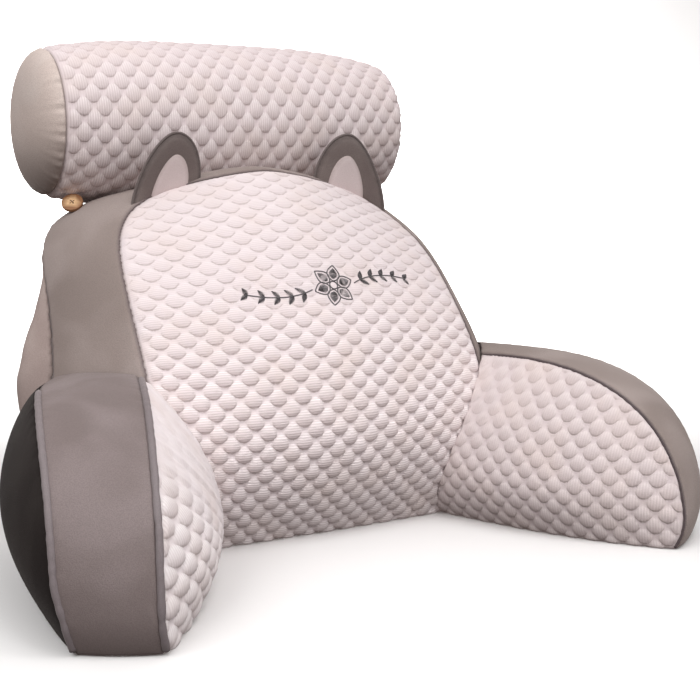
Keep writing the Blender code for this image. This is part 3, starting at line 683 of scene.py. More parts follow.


# Short-pile plush: polyester fibres 2 to 3 mm long. It is matt and soft, lighter where the pile is
# # stroked one way, with a pale bloom at grazing angles, and painted darker within 4.5 mm of a seam
# # as shade where it rolls in.
def plush(name, mid, dark, light, bloom=0.3, shade_heights=None):
    made, tree, shader = new_material(
        name, Roughness=0.95, Sheen_Weight=bloom, Sheen_Roughness=0.4, Specular_IOR_Level=0.08
    )
    shader.inputs["Sheen Tint"].default_value = srgb("#e2d8d4")
    place = node(tree, "TexCoord", out="Object")
    swept = {"Vector": place, "Scale": 11.0, "Detail": 1.5, "Distortion": 0.6}
    stroke = node(tree, "TexNoise", swept)
    fibre = node(tree, "TexNoise", {"Vector": place, "Scale": 900.0, "Detail": 2.0})
    far = node(tree, "Attribute", out="Fac", attribute_name="seam")
    lean = node(tree, "MapRange", (stroke, 0.35, 0.70, 0.0, 0.8), **SMOOTH)
    colour = node(tree, "Mix", {0: lean, 6: srgb(mid), 7: srgb(light)}, **MIX)
    darker = [
        node(tree, "MapRange", (fibre, 0.62, 0.35, 0.0, 0.22)),
        # Painted shade: darker within 4.5 mm of a seam.
        node(tree, "MapRange", (far, 0.0045, 0.0, 0.0, 0.65)),
    ]
    if shade_heights:
        # Painted shade: between these heights the colour darkens further down, as the lower part
        # turns from the light.
        level = node(tree, "SeparateXYZ", (place,), 2)
        darker.append(node(tree, "MapRange", (level, *shade_heights, 0.0, 0.8), **SMOOTH))
    for share in darker:
        colour = node(tree, "Mix", {0: share, 6: colour, 7: srgb(dark)}, **MIX)
    depth = node(tree, "Math", (stroke, 3.0, fibre), operation="MULTIPLY_ADD")
    bump = node(tree, "Bump", {"Height": depth, "Strength": 0.35, "Distance": 0.0010})
    tree.links.new(colour, shader.inputs["Base Color"])
    tree.links.new(bump, shader.inputs["Normal"])
    return made


grey_plush = plush("grey_short_pile_plush", "#92857f", "#62575a", "#a89b96")
# A darker copy of the grey plush, for the left arm's band: painted shade.
shaded_grey_plush = plush("grey_plush_painted_shade", "#7f7371", "#534a48", "#918584")
taupe_plush = plush("taupe_short_pile_plush", "#9b8b86", "#665a56", "#afa09a")


def finish(piece, material, *nodes, slot=None):
    """Gives a piece its material, makes it smooth, and hides the nodes it stands for."""
    piece.data.materials.clear()
    piece.data.materials.append(material)
    indexes = np.zeros(len(piece.data.polygons), np.int32)
    piece.data.polygons.foreach_set("material_index", indexes)
    piece.data.shade_smooth()
    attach(piece, "root")
    if nodes:
        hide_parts(*nodes)
    return piece


# Each bubble's top is painted lighter and its foot darker: painted light and shade.
back_cloth = bubble_cloth(
    "back_bubble_jacquard",
    BACK_REPEAT,
    BACK_CUP,
    "Y",
    ("#e4d8d9", "#f6eded", "#cfc0c0"),
    0.3,
    0.42,
    calm=(-0.03, 0.10),
)
finish(back, back_cloth, "back_cushion", slot="bubble_cloth")
finish(back_band, grey_plush, "back_band", slot="grey_plush")
finish(back_rear, taupe_plush, "back_rear_panel", slot="rear_plush")

# ------------------------------------------------------------------ the arms
# Two filled arms: each is a boxed cushion with bubble cloth towards the sitter, a plush band over
# the top and down the front, and dark plush outside. Their rear ends are sewn against the back.

ARM_START = 0.225
ARM_SPLAY = math.radians(18)
ARM_LENGTH = 0.286
ARM_HEIGHT = 0.208
ARM_WIDTH = 0.104
ARM_FOOT_TUCK = 0.010
ARM_REAR_TOP = -0.085
ARM_REAR_FOOT = -0.105
OUTER_DROP = 0.013
ARM_BAND_PUFF = 0.004
ARM_INNER_PUFF = 0.086
ARM_OUTER_PUFF = 0.047
OUTER_REACH = {-1: 0.94, 1: 0.915}
ARM_REPEAT = {-1: (0.036, 0.027), 1: (0.0232, 0.0265)}
INNER_DROP = {-1: 0.003, 1: 0.010}
ARM_CUP = {-1: (0.40, 0.36, 0.43), 1: (0.37, 0.37, 0.39)}
ARM_BUBBLE_RISE = {-1: 0.0040, 1: 0.0021}
ARM_WRINKLES = {-1: 0.0018, 1: 0.0015}
# The left arm's tones are painted lighter and the right arm's darker: painted light and painted
# shade. The last two numbers set how strongly the ribs and the painted shadow along each bubble's
# lower rim show.
ARM_LIT_AND_SHADED_TONES = {  # the cloth's tones, and how strongly its ribs and rims show
    -1: (("#f1e7e8", "#fbf4f4", "#dfd2d2"), 0.16, 0.36),
    1: (("#d8cbcb", "#e4d9d8", "#c4b5b4"), 0.14, 0.28),
}


def arm_pattern(count=75):
    """The closed flat pattern of an arm's side, and how many of its points the band is sewn to."""
    turn = np.linspace(math.pi / 2, 0, count)
    ahead, up = (np.clip(wave, 0, 1) ** 0.8 for wave in (np.cos(turn), np.sin(turn)))
    curve = np.stack([ARM_LENGTH * ahead, ARM_HEIGHT * up], -1)
    curve[:, 0] -= ARM_FOOT_TUCK * np.clip(1 - curve[:, 1] / 0.04, 0, 1) ** 2
    curve = even_spacing(curve, count)
    rear_run = np.stack([np.linspace(ARM_REAR_TOP, 0, 16)[:-1], np.full(15, ARM_HEIGHT)], -1)
    band_line = np.concatenate([rear_run, curve])
    foot = np.linspace(band_line[-1, 0], ARM_REAR_FOOT, 68)[1:]
    foot = np.stack([foot, np.zeros(len(foot))], -1)
    rear = np.linspace([ARM_REAR_FOOT, 0], [ARM_REAR_TOP, ARM_HEIGHT], 38)[1:-1]
    return np.concatenate([band_line, foot, rear]), len(band_line)


def arm_directions(hand):
    forward = np.array([hand * math.sin(ARM_SPLAY), -math.cos(ARM_SPLAY), 0])
    outward = np.array([hand * math.cos(ARM_SPLAY), math.sin(ARM_SPLAY), 0])
    return forward, outward


def arm_place(hand, outer, flat):
    """(along, up) on one side of an arm to a position; hand is -1 for the left arm."""
    forward, outward = arm_directions(hand)
    root = np.array([hand * ARM_START, SEAT_Y + 0.017, 0])
    along, up = flat[:, 0], flat[:, 1]
    ahead = np.clip(along / ARM_LENGTH, 0, 1)
    level = np.clip(up / ARM_HEIGHT, 0, 1)
    reach = np.clip((ahead**2.5 + level**2.5) ** 0.4, 0, 1)
    lift = np.sin(np.clip(up / (0.12 if outer else 0.07), 0, 1) * math.pi / 2)
    if outer:
        toe = np.clip(1 - up / 0.07, 0, 1) ** 1.5
        behind = np.clip(along / ARM_REAR_FOOT, 0, 1)
        width = ARM_WIDTH * (1 - (0.14 + 0.18 * toe) * ahead**2) * (1 - 0.30 * behind**2)
        puff = (1 - reach**3.2) ** 0.8 * (0.15 + 0.85 * lift)
        offset = width + ARM_OUTER_PUFF * puff * (1 - behind**2)
        drop = OUTER_DROP * (1 - ahead**2) * level
        along = np.where(along > 0, along * OUTER_REACH[hand], along)
        up = up - drop
    else:
        offset = -ARM_INNER_PUFF * (1 - reach**2.6) * (0.60 + 0.40 * lift)
        up = up - INNER_DROP[hand] * level * (1 - ahead) ** 1.5
    points = root + forward * along[:, None] + outward * offset[:, None]
    points[:, 2] = up
    return points


def above_seam(line, hand):
    """The direction straight out of the band, at each point of its flat line."""
    slope = unit(np.gradient(line, axis=0))
    return arm_directions(hand)[0] * -slope[:, 1:] + np.array([0, 0, 1]) * slope[:, :1]


def arm_shell(name, hand, rows=13):
    pattern, count = arm_pattern()
    line = pattern[:count]
    panels = []
    for outer, step in ((False, CLOTH_STEP), (True, 0.0085)):
        flat, faces = cut_panel(pattern, step)
        panels.append((arm_place(hand, outer, flat), faces, flat, distance_to(flat, line)))
    inner_points, outer_points = panels[0][0], panels[1][0]
    out = above_seam(line, hand)
    shares = np.linspace(0, 1, rows)
    rings = []
    for share in shares:
        ring = inner_points[:count] + (outer_points[:count] - inner_points[:count]) * share
        ring = ring + out * ARM_BAND_PUFF * 4 * share * (1 - share)
        ring[-1, 2] = 0
        rings.append(ring)
    points, faces = strip(rings)
    flat = np.stack([np.tile(length_along(line), rows), np.repeat(shares * ARM_WIDTH, count)], -1)
    band = (points, faces, flat, np.repeat(np.minimum(shares, 1 - shares) * ARM_WIDTH, count))
    ends = np.arange(count - 1, len(pattern) + 1) % len(pattern)
    lines = []
    for share, ring in zip(shares, rings):
        across = inner_points[ends] + (outer_points[ends] - inner_points[ends]) * share
        across[0], across[-1] = ring[-1], ring[0]
        lines.append(across)
    points, faces = strip(lines)
    hidden = (points, faces, points[:, :2], np.full(len(points), 0.1))
    return sewn(name, [panels[0], band, panels[1], hidden])


def trim(piece):
    """Cuts a piece back where it lies against the back cushion."""
    cut = piece.modifiers.new("against the back", "BOOLEAN")
    cut.operation = "DIFFERENCE"
    cut.solver = "EXACT"
    cut.object = clearance
    apply_all(piece)


dark_plush = plush("dark_short_pile_plush", "#262120", "#141110", "#35302e", 0.06)
for hand, word in ((-1, "left"), (1, "right")):
    arm = arm_shell(f"arm_{word}_filled", hand)
    plump(arm, 0.004)
    round_off(arm)
    band = cover_panel(f"arm_{word}_plush_band", arm, 1)
    side = cover_panel(f"arm_{word}_outer_panel", arm, 2)
    sink_under(arm, (1, 2))
    on_cloth, in_panel = panel_points(arm, 0)
    edge = value_of(arm, "seam")
    along, up = on_cloth.T
    # Where the cloth is pulled over the filling, its bubbles lie flat and it wrinkles instead.
    if hand < 0:
        pulled = 1 - fade(along - 0.9 * up, 0.04, 0.15)
    else:
        pulled = 0.75 * fade(up, 0.05, 0.15) * fade(along, 0.18, 0.02)
    height = bubbles(on_cloth / ARM_REPEAT[hand], *ARM_CUP[hand])
    height = height * fade(edge, 0.001, 0.009) * (1 - 0.8 * pulled)
    mark_bubbles(arm, height * in_panel)
    height = height * ARM_BUBBLE_RISE[hand] * (1 + 0.2 * wander(along + up, 0.09, 0.053))
    sweep = along + 0.9 * (ARM_HEIGHT - up) ** 2 / 0.2 - 0.25 * up
    wrinkles = ARM_WRINKLES[hand] * pulled * wander(sweep, 0.0115, 0.0173, 0.029)
    height += wrinkles * fade(edge, 0.002, 0.012)
    rucked = 0.0011 * wander(along - up, 0.017, 0.0263, 0.041)
    height += rucked * fade(edge, 0.0, 0.004) * np.exp(-edge / 0.010)
    height *= in_panel
    move_points(arm, points_of(arm) + height[:, None] * normals_of(arm))
    for piece in (arm, band, side):
        trim(piece)
    cloth_name = f"arm_{word}_bubble_jacquard"
    cloth = bubble_cloth(cloth_name, ARM_REPEAT[hand], ARM_CUP[hand], "X", *ARM_LIT_AND_SHADED_TONES[hand])
    finish(arm, cloth, f"arm_{word}", slot="bubble_cloth")
    # The left arm's band gets the darker copy of the grey plush, as painted shade.
    band_plush = shaded_grey_plush if hand < 0 else grey_plush
    finish(band, band_plush, f"arm_{word}_band", slot="grey_plush")
    finish(side, dark_plush, f"arm_{word}_side_panel", slot="dark_plush")

# The seams of the arms: both edges of each band are turned out as a soft plush roll, stitched
# through, with small puckers where the thread pulls. The rolls of the left arm stand out, and the
# right arm's are pulled tight.
SEAM_ROLLS = (  # arm, edge, radius, share of the lift outwards and up, wander of the path
    (-1, "inner", 0.0036, 0.7, 1.0, 0.0006),
    (-1, "outer", 0.0038, 1.0, 0.8, 0.0011),
    (1, "inner", 0.0015, 0.1, 0.4, 0.0009),
    (1, "outer", 0.0021, 0.6, 0.0, 0.0003),
)
SEAM_LIFT = 0.0022
SEAM_DIMPLES = (0.62, 0.70, 0.80, 0.91)  # where the thread pulls, in shares of a roll's length
piping_plush = plush("seam_edge_plush", "#a2989a", "#6b6263", "#b8afb0")
seam_plush = plush("pulled_seam_plush", "#746869", "#4a4142", "#847778")


def cords(name, runs, sides=12):
    """Closed round cords, one for each path and its radii, as one piece."""
    made = bmesh.new()
    for path, radii in runs:
        ahead = unit(np.gradient(path, axis=0))
        across = unit(np.cross(ahead, [0.0, 0.0, 1.0]) + [1e-9, 0, 0])
        beside = np.cross(across, ahead)
        rings = []
        for k in range(sides):
            turn = 2 * math.pi * k / sides
            line = path + radii[:, None] * (math.cos(turn) * across + math.sin(turn) * beside)
            rings.append([made.verts.new(point) for point in line])
        for k in range(sides):
            one, two = rings[k], rings[(k + 1) % sides]
            for n in range(len(path) - 1):
                made.faces.new((one[n], one[n + 1], two[n + 1], two[n]))
        for end in (0, -1):
            made.faces.new([ring[end] for ring in rings])
    return new_piece(name, made)


def laid_on(piece, path, lift):
    """Draws a path down to a piece's surface, until it lies no higher than lift above it."""
    near = np.array([piece.closest_point_on_mesh(Vector(point))[1] for point in path])
    gap = np.linalg.norm(path - near, axis=1)[:, None]
    path = near + (path - near) * np.minimum(1, lift / np.maximum(gap, 1e-6))
    for _ in range(10):
        path[1:-1] = (path[:-2] + 2 * path[1:-1] + path[2:]) / 4
    return path


for hand, edge_name, radius, outwards, upwards, stray in SEAM_ROLLS:
    word = "left" if hand < 0 else "right"
    side = 1 if edge_name == "outer" else -1
    pattern, count = arm_pattern(150)
    line = pattern[:count]
    line = line[line[:, 0] > 0.004]
    above = above_seam(line, hand)
    beside = side * arm_directions(hand)[1]
    path = arm_place(hand, side > 0, line) + SEAM_LIFT * (above * upwards + beside * outwards)
    length = length_along(path)
    path += above * (stray * wander(length, 0.047, 0.029, 0.017))[:, None]
    path = laid_on(bpy.data.objects[f"arm_{word}_filled"], path, 0.6 * radius)
    radii = radius * (1 + 0.08 * wander(length, 0.013, 0.0171, 0.041))
    for dimple in SEAM_DIMPLES:
        radii *= 1 - 0.14 * np.exp(-(((length - dimple * length[-1]) / 0.004) ** 2))
    radii *= 0.35 + 0.65 * fade(length, 0.0, 0.02)
    keep = path[:, 2] > radius + 0.0008
    cord = cords(f"arm_{word}_{edge_name}_seam_roll", [(path[keep], radii[keep])])
    material = piping_plush if hand < 0 else seam_plush
    finish(cord, material, f"arm_{word}_{edge_name}_piping", slot="grey_plush")

# ------------------------------------------------------------------ the neck roll
# A round bolster across the top of the back: bubble cloth rolled round the filling with its ribs
# upright, closed at each end with a gathered plush disc.
COVER_INSET = 0.0008  # room for the bubbles between the cloth's ground and the roll's outline
ROLL_GIRTH = 2 * math.pi * (ROLL_RADIUS - COVER_INSET)
ROLL_REPEAT = (0.0244, ROLL_GIRTH / 19)
ROLL_CUP = (0.39, 0.37, 0.43)
ROLL_BUBBLE_RISE = 0.0024
AROUND = 128
ALONG = 88
END_RINGS = 15
SEAM_X = ROLL_LENGTH / 2 - END_DOME
WRAP = {-1: 0, 1: 5}  # how many rings of each end the bubble cloth covers


def roll_surface(turn, x, radius):
    """Points round the roll's axis: turn 0 faces the sitter, and rises over the top."""
    y = SEAT_Y + ROLL_Y - radius * np.cos(turn)
    z = ROLL_Z + radius * np.sin(turn)
    return np.stack([ROLL_X + x, y, z], -1)


def end_ring(side, number):
    """A ring of the roll's domed end, counted from its rim."""
    angle = number / END_RINGS * math.pi / 2
    x = np.full(AROUND + 1, side * (SEAM_X + END_DOME * math.sin(angle)))
    radius = (roll_radius(ROLL_X + SEAM_X) - COVER_INSET) * math.cos(angle) ** 0.75
    return roll_surface(turn, x, radius)


turn = np.linspace(-math.pi / 2, 1.5 * math.pi, AROUND + 1)
places = list(np.linspace(-SEAM_X, SEAM_X, ALONG + 1))
rings = []
for x in places:
    radius = roll_radius(ROLL_X + x) - COVER_INSET
    rings.append(roll_surface(turn, np.full(AROUND + 1, x), radius))
for k in range(1, WRAP[1] + 1):
    rings.append(end_ring(1, k))
    places.append(places[-1] + np.linalg.norm(rings[-1][0] - rings[-2][0]))
places = np.array(places)
points, faces = strip(rings)
around = np.tile(turn / (2 * math.pi) * ROLL_GIRTH, len(places))
flat = np.stack([np.repeat(places, AROUND + 1), around], -1)
far = np.repeat(np.minimum(places - places[0], places[-1] - places), AROUND + 1)
panels = [(points, faces, flat, far)]
for side in (-1, 1):
    numbers = np.arange(WRAP[side], END_RINGS)
    points, faces = strip([end_ring(side, k) for k in numbers])
    far = (numbers - WRAP[side]) / END_RINGS * math.pi / 2 * ROLL_RADIUS * 0.8
    last = len(points) - AROUND - 1
    faces = faces + [(last + n, last + n + 1, len(points)) for n in range(AROUND)]
    flat = np.stack([np.tile(turn * ROLL_RADIUS, len(numbers)), np.zeros(len(points))], -1)
    pole = [ROLL_X + side * (SEAM_X + END_DOME), SEAT_Y + ROLL_Y, ROLL_Z]
    points, flat = np.vstack([points, pole]), np.vstack([flat, [0, 0]])
    panels.append((points, faces, flat, np.append(np.repeat(far, AROUND + 1), 0.1)))
roll = sewn("neck_roll_filled", panels)
plump(roll, 0.003)
round_off(roll)
roll_ends = []
for index, word in ((1, "left"), (2, "right")):
    roll_ends.append(cover_panel(f"neck_roll_{word}_disc", roll, index, 0.0024, 0.020))
sink_under(roll, (1, 2))
on_cloth, in_panel = panel_points(roll, 0)
edge = value_of(roll, "seam")
height = bubbles(on_cloth / ROLL_REPEAT, *ROLL_CUP) * fade(edge, 0.001, 0.009)
mark_bubbles(roll, height * in_panel)
height *= 1 + 0.2 * wander(on_cloth.sum(1), 0.12, 0.067)
height *= np.where(in_panel, ROLL_BUBBLE_RISE, 0)
move_points(roll, points_of(roll) + height[:, None] * normals_of(roll))
# Each bubble's top is painted lighter and its foot darker: painted light and shade.
roll_cloth = bubble_cloth(
    "roll_bubble_jacquard",
    ROLL_REPEAT,
    ROLL_CUP,
    "X",
    ("#e1d3d4", "#efe4e4", "#d2c3c3"),
    0.24,
    0.34,
    calm=(0.02, 0.14),
)
finish(roll, roll_cloth, "neck_roll", slot="bubble_cloth")
# The end discs are painted darker towards their bottom, as painted shade.
disc_plush = plush("roll_end_plush", "#d3c3bb", "#6e625d", "#dacdc6", shade_heights=(0.49, 0.40))
for piece, word in zip(roll_ends, ("left", "right")):
    finish(piece, disc_plush, f"neck_roll_end_{word}", slot="grey_plush")

# ------------------------------------------------------------------ the ears
# Two small padded ears in the back's top seam: plush outside, and a pale lining on the face. They
# run down into the seam, and the right one is caught over a longer stretch of it.
EAR_INNER = (0.079, 0.177, 0.420)
EAR_OUTER = {-1: (0.166, 0.184, 0.388), 1: (0.182, 0.184, 0.380)}
EAR_TIP = (0.118, 0.146, 0.476)
EAR_THICKNESS = 0.016
EAR_EDGE = 0.003
EAR_SETBACK = 0.012
EAR_DEPTH = 0.006
EAR_ROOT = 0.006
EAR_SPAN = 0.08  # what the ear's pattern, 1 from end to end of its base, is multiplied by
EAR_ARCH = 41


def ear_outline(low=0.0, high=1.0, top=1.0):
    """A rounded arch and its base, as (along the base, towards the tip)."""
    turn = np.linspace(0, math.pi, EAR_ARCH)
    up = np.clip(np.sin(turn), 0, 1) ** 0.75
    across = np.sign(np.cos(turn)) * np.abs(np.cos(turn)) ** 1.15
    along = 0.5 - 0.5 * across * (1 - 0.2 * up)
    arch = np.stack([low + (high - low) * along, top * up], -1)
    arch[[0, -1], 1] = 0
    arch = even_spacing(arch, EAR_ARCH)
    base = np.linspace(arch[-1], arch[0], 17)[1:-1]
    return np.concatenate([arch, base])


def ear_point(hand, side, flat):
    """(along, up) on one face of an ear to a position; side is 1 for the face to the sitter."""
    arch = back_rings(BACK_ARCH, 3)[1][0]
    upper = arch[len(arch) // 4 : -(len(arch) // 4)]
    inner, outer, tip = (
        np.array(place) * [hand, 1, 1] + [0, SEAT_Y, 0]
        for place in (EAR_INNER, EAR_OUTER[hand], EAR_TIP)
    )
    half = ear_outline()[: EAR_ARCH // 2 + 1]
    rise = tip - (inner * 0.55 + outer * 0.45)
    run = outer - inner
    face = unit(np.cross(run, rise)[None])[0] * hand * side
    x = inner[0] + run[0] * flat[:, 0]
    base = np.stack([x, *(np.interp(x, upper[:, 0], upper[:, k]) for k in (1, 2))], -1)
    base += [0, EAR_SETBACK, -EAR_DEPTH]
    base[:, 2] -= EAR_ROOT * np.clip(1 - flat[:, 1] / 0.25, 0, 1)
    width = np.interp(flat[:, 1], half[:, 1], 0.5 - half[:, 0])
    across = np.clip(np.abs(flat[:, 0] - 0.5) / np.maximum(width, 1e-6), 0, 1)
    puff = np.sqrt(1 - across**2.5) * (0.5 + 0.5 * np.clip(flat[:, 1] / 0.25, 0, 1))
    puff = puff * np.sqrt(1 - np.clip(flat[:, 1], 0, 1) ** 6)
    depth = (EAR_EDGE + (EAR_THICKNESS - EAR_EDGE) * puff) / 2
    return base + rise * flat[:, 1:] + face * depth[:, None], face


def two_faced(name, outline, top, low, faces, flat, edge):
    """A closed piece from two faces cut to one outline, joined round it."""
    ring = np.arange(len(outline) + 1) % len(outline)
    rim, rim_faces = strip([top[ring], low[ring]])
    joined = (rim, rim_faces, rim[:, :2], np.zeros(len(rim)))
    return sewn(name, [(top, faces, flat, edge), (low, faces, flat, edge), joined])


ear_plush = plush("ear_plush", "#7a6f6c", "#4f4745", "#8f8480")
lining_cloth = plush("ear_lining_velour", "#dccecd", "#bcaca9", "#e6dad9")
for hand, word in ((-1, "left"), (1, "right")):
    outline = ear_outline()
    flat, faces = cut_panel(outline, 0.045)
    edge = distance_to(flat, np.vstack([outline, outline[:1]])) * EAR_SPAN
    front, rear = (ear_point(hand, side, flat)[0] for side in (1, -1))
    ear = two_faced(f"ear_{word}_padded", outline, front, rear, faces, flat, edge)
    round_off(ear)
    finish(ear, ear_plush, f"ear_{word}", slot="grey_plush")
    lining = ear_outline(0.19, 0.74, 0.66) + [0, 0.03]
    flat, faces = cut_panel(lining, 0.03)
    points, face = ear_point(hand, 1, flat)
    edge = distance_to(flat, np.vstack([lining, lining[:1]])) * EAR_SPAN
    puff = 0.0004 + 0.0014 * np.sqrt(np.clip(edge / 0.006, 0, 1))
    top, low = points + face * puff[:, None], points + face * 0.0002
    patch_name = f"ear_{word}_lining_patch"
    patch = two_faced(patch_name, lining, top, low, faces, flat * EAR_SPAN, edge)
    round_off(patch)
    finish(patch, lining_cloth, f"ear_lining_{word}", slot="ear_lining")

# ------------------------------------------------------------------ the ears' seam edges
# The two sides of each ear meet in a narrow turned edge of the same plush, painted paler all
# # along as a highlight where it catches the light.
EAR_SEAM_RADIUS = 0.0016
ear_edge = plush("ear_edge_plush", "#8d8280", "#5d5452", "#a39997")
for hand, word in ((-1, "left"), (1, "right")):
    arch = even_spacing(ear_outline()[:EAR_ARCH], 90)
    path = (ear_point(hand, 1, arch)[0] + ear_point(hand, -1, arch)[0]) / 2
    path += 0.0006 * unit(path - path[[0, -1]].mean(0))
    radii = np.full(len(path), EAR_SEAM_RADIUS)
    finish(cords(f"ear_{word}_seam_edge", [(path, radii)], 8), ear_edge)

# ------------------------------------------------------------------ the embroidery
# A flower and two leafy stems, worked by machine in polyester thread through the front of the back:
# petals outlined dark and filled grey, and leaves laid to and fro in satin stitch.


def on_front(flat, lift):
    """Flat points of the front to places on its puffed cloth."""
    step = 0.001
    points = front_point(flat)
    rise = front_point(flat + [0, step]) - front_point(flat - [0, step])
    run = front_point(flat + [step, 0]) - front_point(flat - [step, 0])
    out = unit(np.cross(run, rise))
    placed = []
    for point, normal in zip(points, out):
        hit, place, _, _ = back.ray_cast(Vector(point + 0.02 * normal), Vector(-normal))
        placed.append(np.array(place if hit else point) + lift * normal)
    return np.array(placed)


def thread(name, colour):
    """Trilobal polyester thread: a soft shine along the stitches."""
    made, tree, shader = new_material(
        name, Roughness=0.5, Specular_IOR_Level=0.35, Sheen_Weight=0.1
    )
    place = node(tree, "TexCoord", out="Object")
    twist = node(tree, "TexNoise", {"Vector": place, "Scale": 900.0, "Detail": 1.0})
    tone = node(tree, "MapRange", (twist, 0.3, 0.7, 0.0, 0.35))
    shade = node(tree, "Mix", {0: tone, 6: srgb(colour), 7: srgb("#9b9596")}, **MIX)
    bump = node(tree, "Bump", {"Height": twist, "Strength": 0.4, "Distance": 0.0002})
    tree.links.new(shade, shader.inputs["Base Color"])
    tree.links.new(bump, shader.inputs["Normal"])
    return made


bpy.context.view_layer.update()
for name, runs, radius, colour in (
    ("embroidery_dark_thread", dark_runs, 0.00075, "#484446"),
    ("embroidery_grey_thread", grey_runs, 0.00060, "#8d8789"),
):
    laid = [on_front(run, 0.0003) for run in runs]
    stitches = cords(name, [(line, np.full(len(line), radius)) for line in laid], 6)
    finish(stitches, thread(name, colour))

# ------------------------------------------------------------------ the buttons
# A round button cut from pale wood at each end of the roll, where its tie is held to the band: four
# holes, a thread cross, and edges browned by the cutting.
BUTTONS = (  # side, centre, the way its face looks
    ("left", (-0.2130, 0.1850, 0.3832), (-0.38, -0.62, 0.69)),
    ("right", (0.2138, 0.1973, 0.3776), (0.47, 0.0, 0.88)),
)
BUTTON_RADIUS = 0.013
BUTTON_THICKNESS = 0.004
HOLE_RADIUS = 0.0011
HOLE_PLACE = 0.0028
THREAD_RADIUS = 0.0005
wood, tree, shader = new_material("laser_cut_beech", Roughness=0.55, Specular_IOR_Level=0.35)
place = node(tree, "TexCoord", out="Object")
rings = {"Vector": place, "Scale": WAVE / 0.0024, "Distortion": 2.5, "Detail": 2.0}
grain = node(tree, "TexWave", rings, "Fac", bands_direction="Z")
figure = node(tree, "Mix", {0: grain, 6: srgb("#f6d2a8"), 7: srgb("#e6ba88")}, **MIX)
browned = node(tree, "Attribute", out="Fac", attribute_name="browned")
figure = node(tree, "Mix", {0: browned, 6: figure, 7: srgb("#7b4a2a")}, **MIX)
bump = node(tree, "Bump", {"Height": grain, "Strength": 0.2, "Distance": 0.0002})
tree.links.new(figure, shader.inputs["Base Color"])
tree.links.new(bump, shader.inputs["Normal"])
sewing_thread = thread("button_thread", "#8f6b48")
for word, centre, facing in BUTTONS:
    turned = Vector(facing).to_track_quat("Z", "Y")
    bpy.ops.object.select_all(action="DESELECT")
    bpy.ops.mesh.primitive_cylinder_add(vertices=64, radius=BUTTON_RADIUS, depth=BUTTON_THICKNESS)
    button = bpy.context.object
    button.name = f"roll_button_{word}_wood"
    holes = []
    for n in range(4):
        angle = math.pi / 4 + n * math.pi / 2
        hole = (HOLE_PLACE * math.cos(angle), HOLE_PLACE * math.sin(angle))
        holes.append(np.array(hole))
        bpy.ops.mesh.primitive_cylinder_add(
            vertices=16, radius=HOLE_RADIUS, depth=0.01, location=(*hole, 0)
        )
        drill = bpy.context.object
        cut = button.modifiers.new("hole", "BOOLEAN")
        cut.operation, cut.solver, cut.object = "DIFFERENCE", "EXACT", drill
        apply_all(button)
        bpy.data.objects.remove(drill)
    soft = button.modifiers.new("worn edge", "BEVEL")
    soft.width, soft.segments, soft.limit_method = 0.0005, 2, "ANGLE"
    apply_all(button)
    local = points_of(button)
    rim = np.hypot(local[:, 0], local[:, 1])
    brown = np.where(rim > BUTTON_RADIUS - 0.0002, 0.85, 0.0).astype(np.float32)
    button.data.attributes.new("browned", "FLOAT", "POINT").data.foreach_set("value", brown)
    button.data.transform(Matrix.LocRotScale(Vector(centre), turned, None))
    finish(button, wood, f"roll_button_{word}", slot="button_wood")
    button.data.set_sharp_from_angle(angle=math.radians(35))
    cross = []
    for one, two in ((0, 2), (1, 3)):
        share = np.linspace(0, 1, 9)[:, None]
        flat = holes[one] * (1 - share) + holes[two] * share
        height = 0.0021 + 0.0006 * one + 0.0004 * np.sin(math.pi * share)
        height = height - 0.003 * (np.abs(2 * share - 1) > 0.9)
        laid = np.concatenate([flat, height], 1) @ np.array(turned.to_matrix()).T + centre
        cross.append((laid, np.full(9, THREAD_RADIUS)))
    finish(cords(f"roll_button_{word}_thread", cross, 6), sewing_thread)

# ------------------------------------------------------------------ the floor, light and camera
# A plain pale floor that curves up behind, and a soft studio: broad softboxes above, in front and
# on the near side, narrow ones low down and on the near arm, one on the backdrop, and a pale world
# that is darker below.
FLOOR_FLAT = 3.0
FLOOR_CURVE = 4.0
bpy.ops.mesh.primitive_grid_add(x_subdivisions=2, y_subdivisions=60, size=16, location=(0, 2, 0))
floor = bpy.context.object
floor.name = "studio_floor"
for vert in floor.data.vertices:
    beyond = max(vert.co.y + 2 - FLOOR_FLAT, 0)
    turn = min(beyond / FLOOR_CURVE, math.pi / 2)
    vert.co.z = FLOOR_CURVE * (1 - math.cos(turn))
    vert.co.y -= max(beyond - FLOOR_CURVE * math.sin(turn), 0)
floor.data.shade_smooth()
floor.visible_diffuse = False
floor_paint, tree, shader = new_material("matt_white_floor", Roughness=0.9, Specular_IOR_Level=0.1)
speckle = node(tree, "TexNoise", {"Scale": 3.0})
tone = node(tree, "Mix", {0: speckle, 6: srgb("#f4f3f2"), 7: srgb("#f8f7f6")}, **MIX)
tree.links.new(tone, shader.inputs["Base Color"])
floor.data.materials.append(floor_paint)

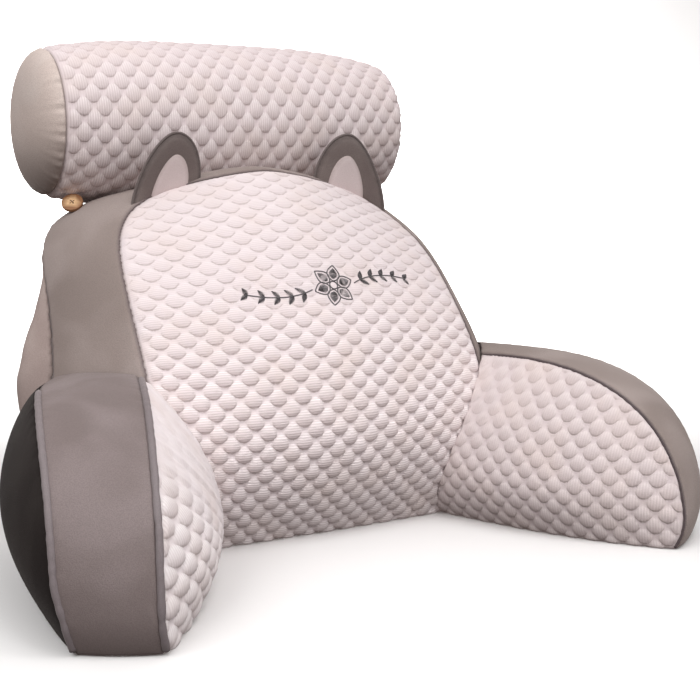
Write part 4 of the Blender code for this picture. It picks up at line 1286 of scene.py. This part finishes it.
world = bpy.data.worlds.new("soft_studio")
bpy.context.scene.world = world
world.use_nodes = True
tree = world.node_tree
sky = node(tree, "TexCoord", out="Generated")
up = node(tree, "MapRange", (node(tree, "SeparateXYZ", (sky,), 2), -1.0, 1.0))
glow = node(tree, "ValToRGB", (up,))
ramp = glow.node.color_ramp
ramp.elements[0].position, ramp.elements[0].color = 0.47, (0.13, 0.108, 0.10, 1)
ramp.elements[1].position, ramp.elements[1].color = 1.0, (0.70, 0.68, 0.68, 1)
ramp.elements.new(0.53).color = (0.32, 0.305, 0.305, 1)
ramp.elements.new(0.70).color = (0.64, 0.62, 0.62, 1)
tree.links.new(glow, tree.nodes["Background"].inputs[0])
tree.nodes["Background"].inputs[1].default_value = 0.95
bpy.context.scene.view_settings.view_transform = "Standard"

SOFTBOXES = (  # name, place, what it looks at, size, power in watts, spread in degrees
    ("key_softbox", (0.15, -0.9, 2.1), (0, 0, 0.25), (1.1, 0.9), 11, 180),
    ("front_softbox", (-0.3, -2.5, 2.5), (0, 0, 0.2), (1.6, 1.2), 16, 180),
    ("side_softbox", (-1.5, -0.8, 1.5), (0, 0, 0.25), (1.2, 1.0), 16, 180),
    ("low_softbox", (0.15, -1.0, 0.12), (-0.02, 0, 0.06), (0.6, 0.12), 0.24, 60),
    ("arm_softbox", (1.1, -1.7, 1.0), (-0.3, -0.15, 0.1), (0.5, 0.5), 0.30, 50),
    ("backdrop_softbox", (0.8, 1.6, 3.2), (2.6, 6.0, 0.9), (3.4, 1.0), 680, 180),
)
for name, place, target, size, power, spread in SOFTBOXES:
    light = bpy.data.lights.new(name, "AREA")
    light.shape = "RECTANGLE"
    light.size, light.size_y = size
    light.energy = power
    light.spread = math.radians(spread)
    lamp = bpy.data.objects.new(name, light)
    bpy.context.scene.collection.objects.link(lamp)
    lamp.location = place
    lamp.rotation_euler = (Vector(target) - Vector(place)).to_track_quat("-Z", "Y").to_euler()

# The camera stands where the photographer did, a little to the sitter's right and above.
SENSOR = 36
FOCAL = 1250 / 700 * SENSOR
YAW = math.radians(30.45)
PITCH = math.radians(8.0)
flat_ahead = np.array([math.sin(YAW), math.cos(YAW), 0])
ahead = flat_ahead * math.cos(PITCH) - [0, 0, math.sin(PITCH)]
beside = np.array([math.cos(YAW), -math.sin(YAW), 0])
placed = np.eye(4)
placed[:3] = np.stack([beside, np.cross(beside, ahead), -ahead, (-0.698, -1.3073, 0.4175)], 1)
camera = bpy.data.objects.new("camera", bpy.data.cameras.new("camera"))
bpy.context.scene.collection.objects.link(camera)
camera.matrix_world = Matrix(placed.tolist())
camera.data.sensor_width = SENSOR
camera.data.lens = FOCAL
bpy.context.scene.camera = camera

bpy.data.objects.remove(clearance)
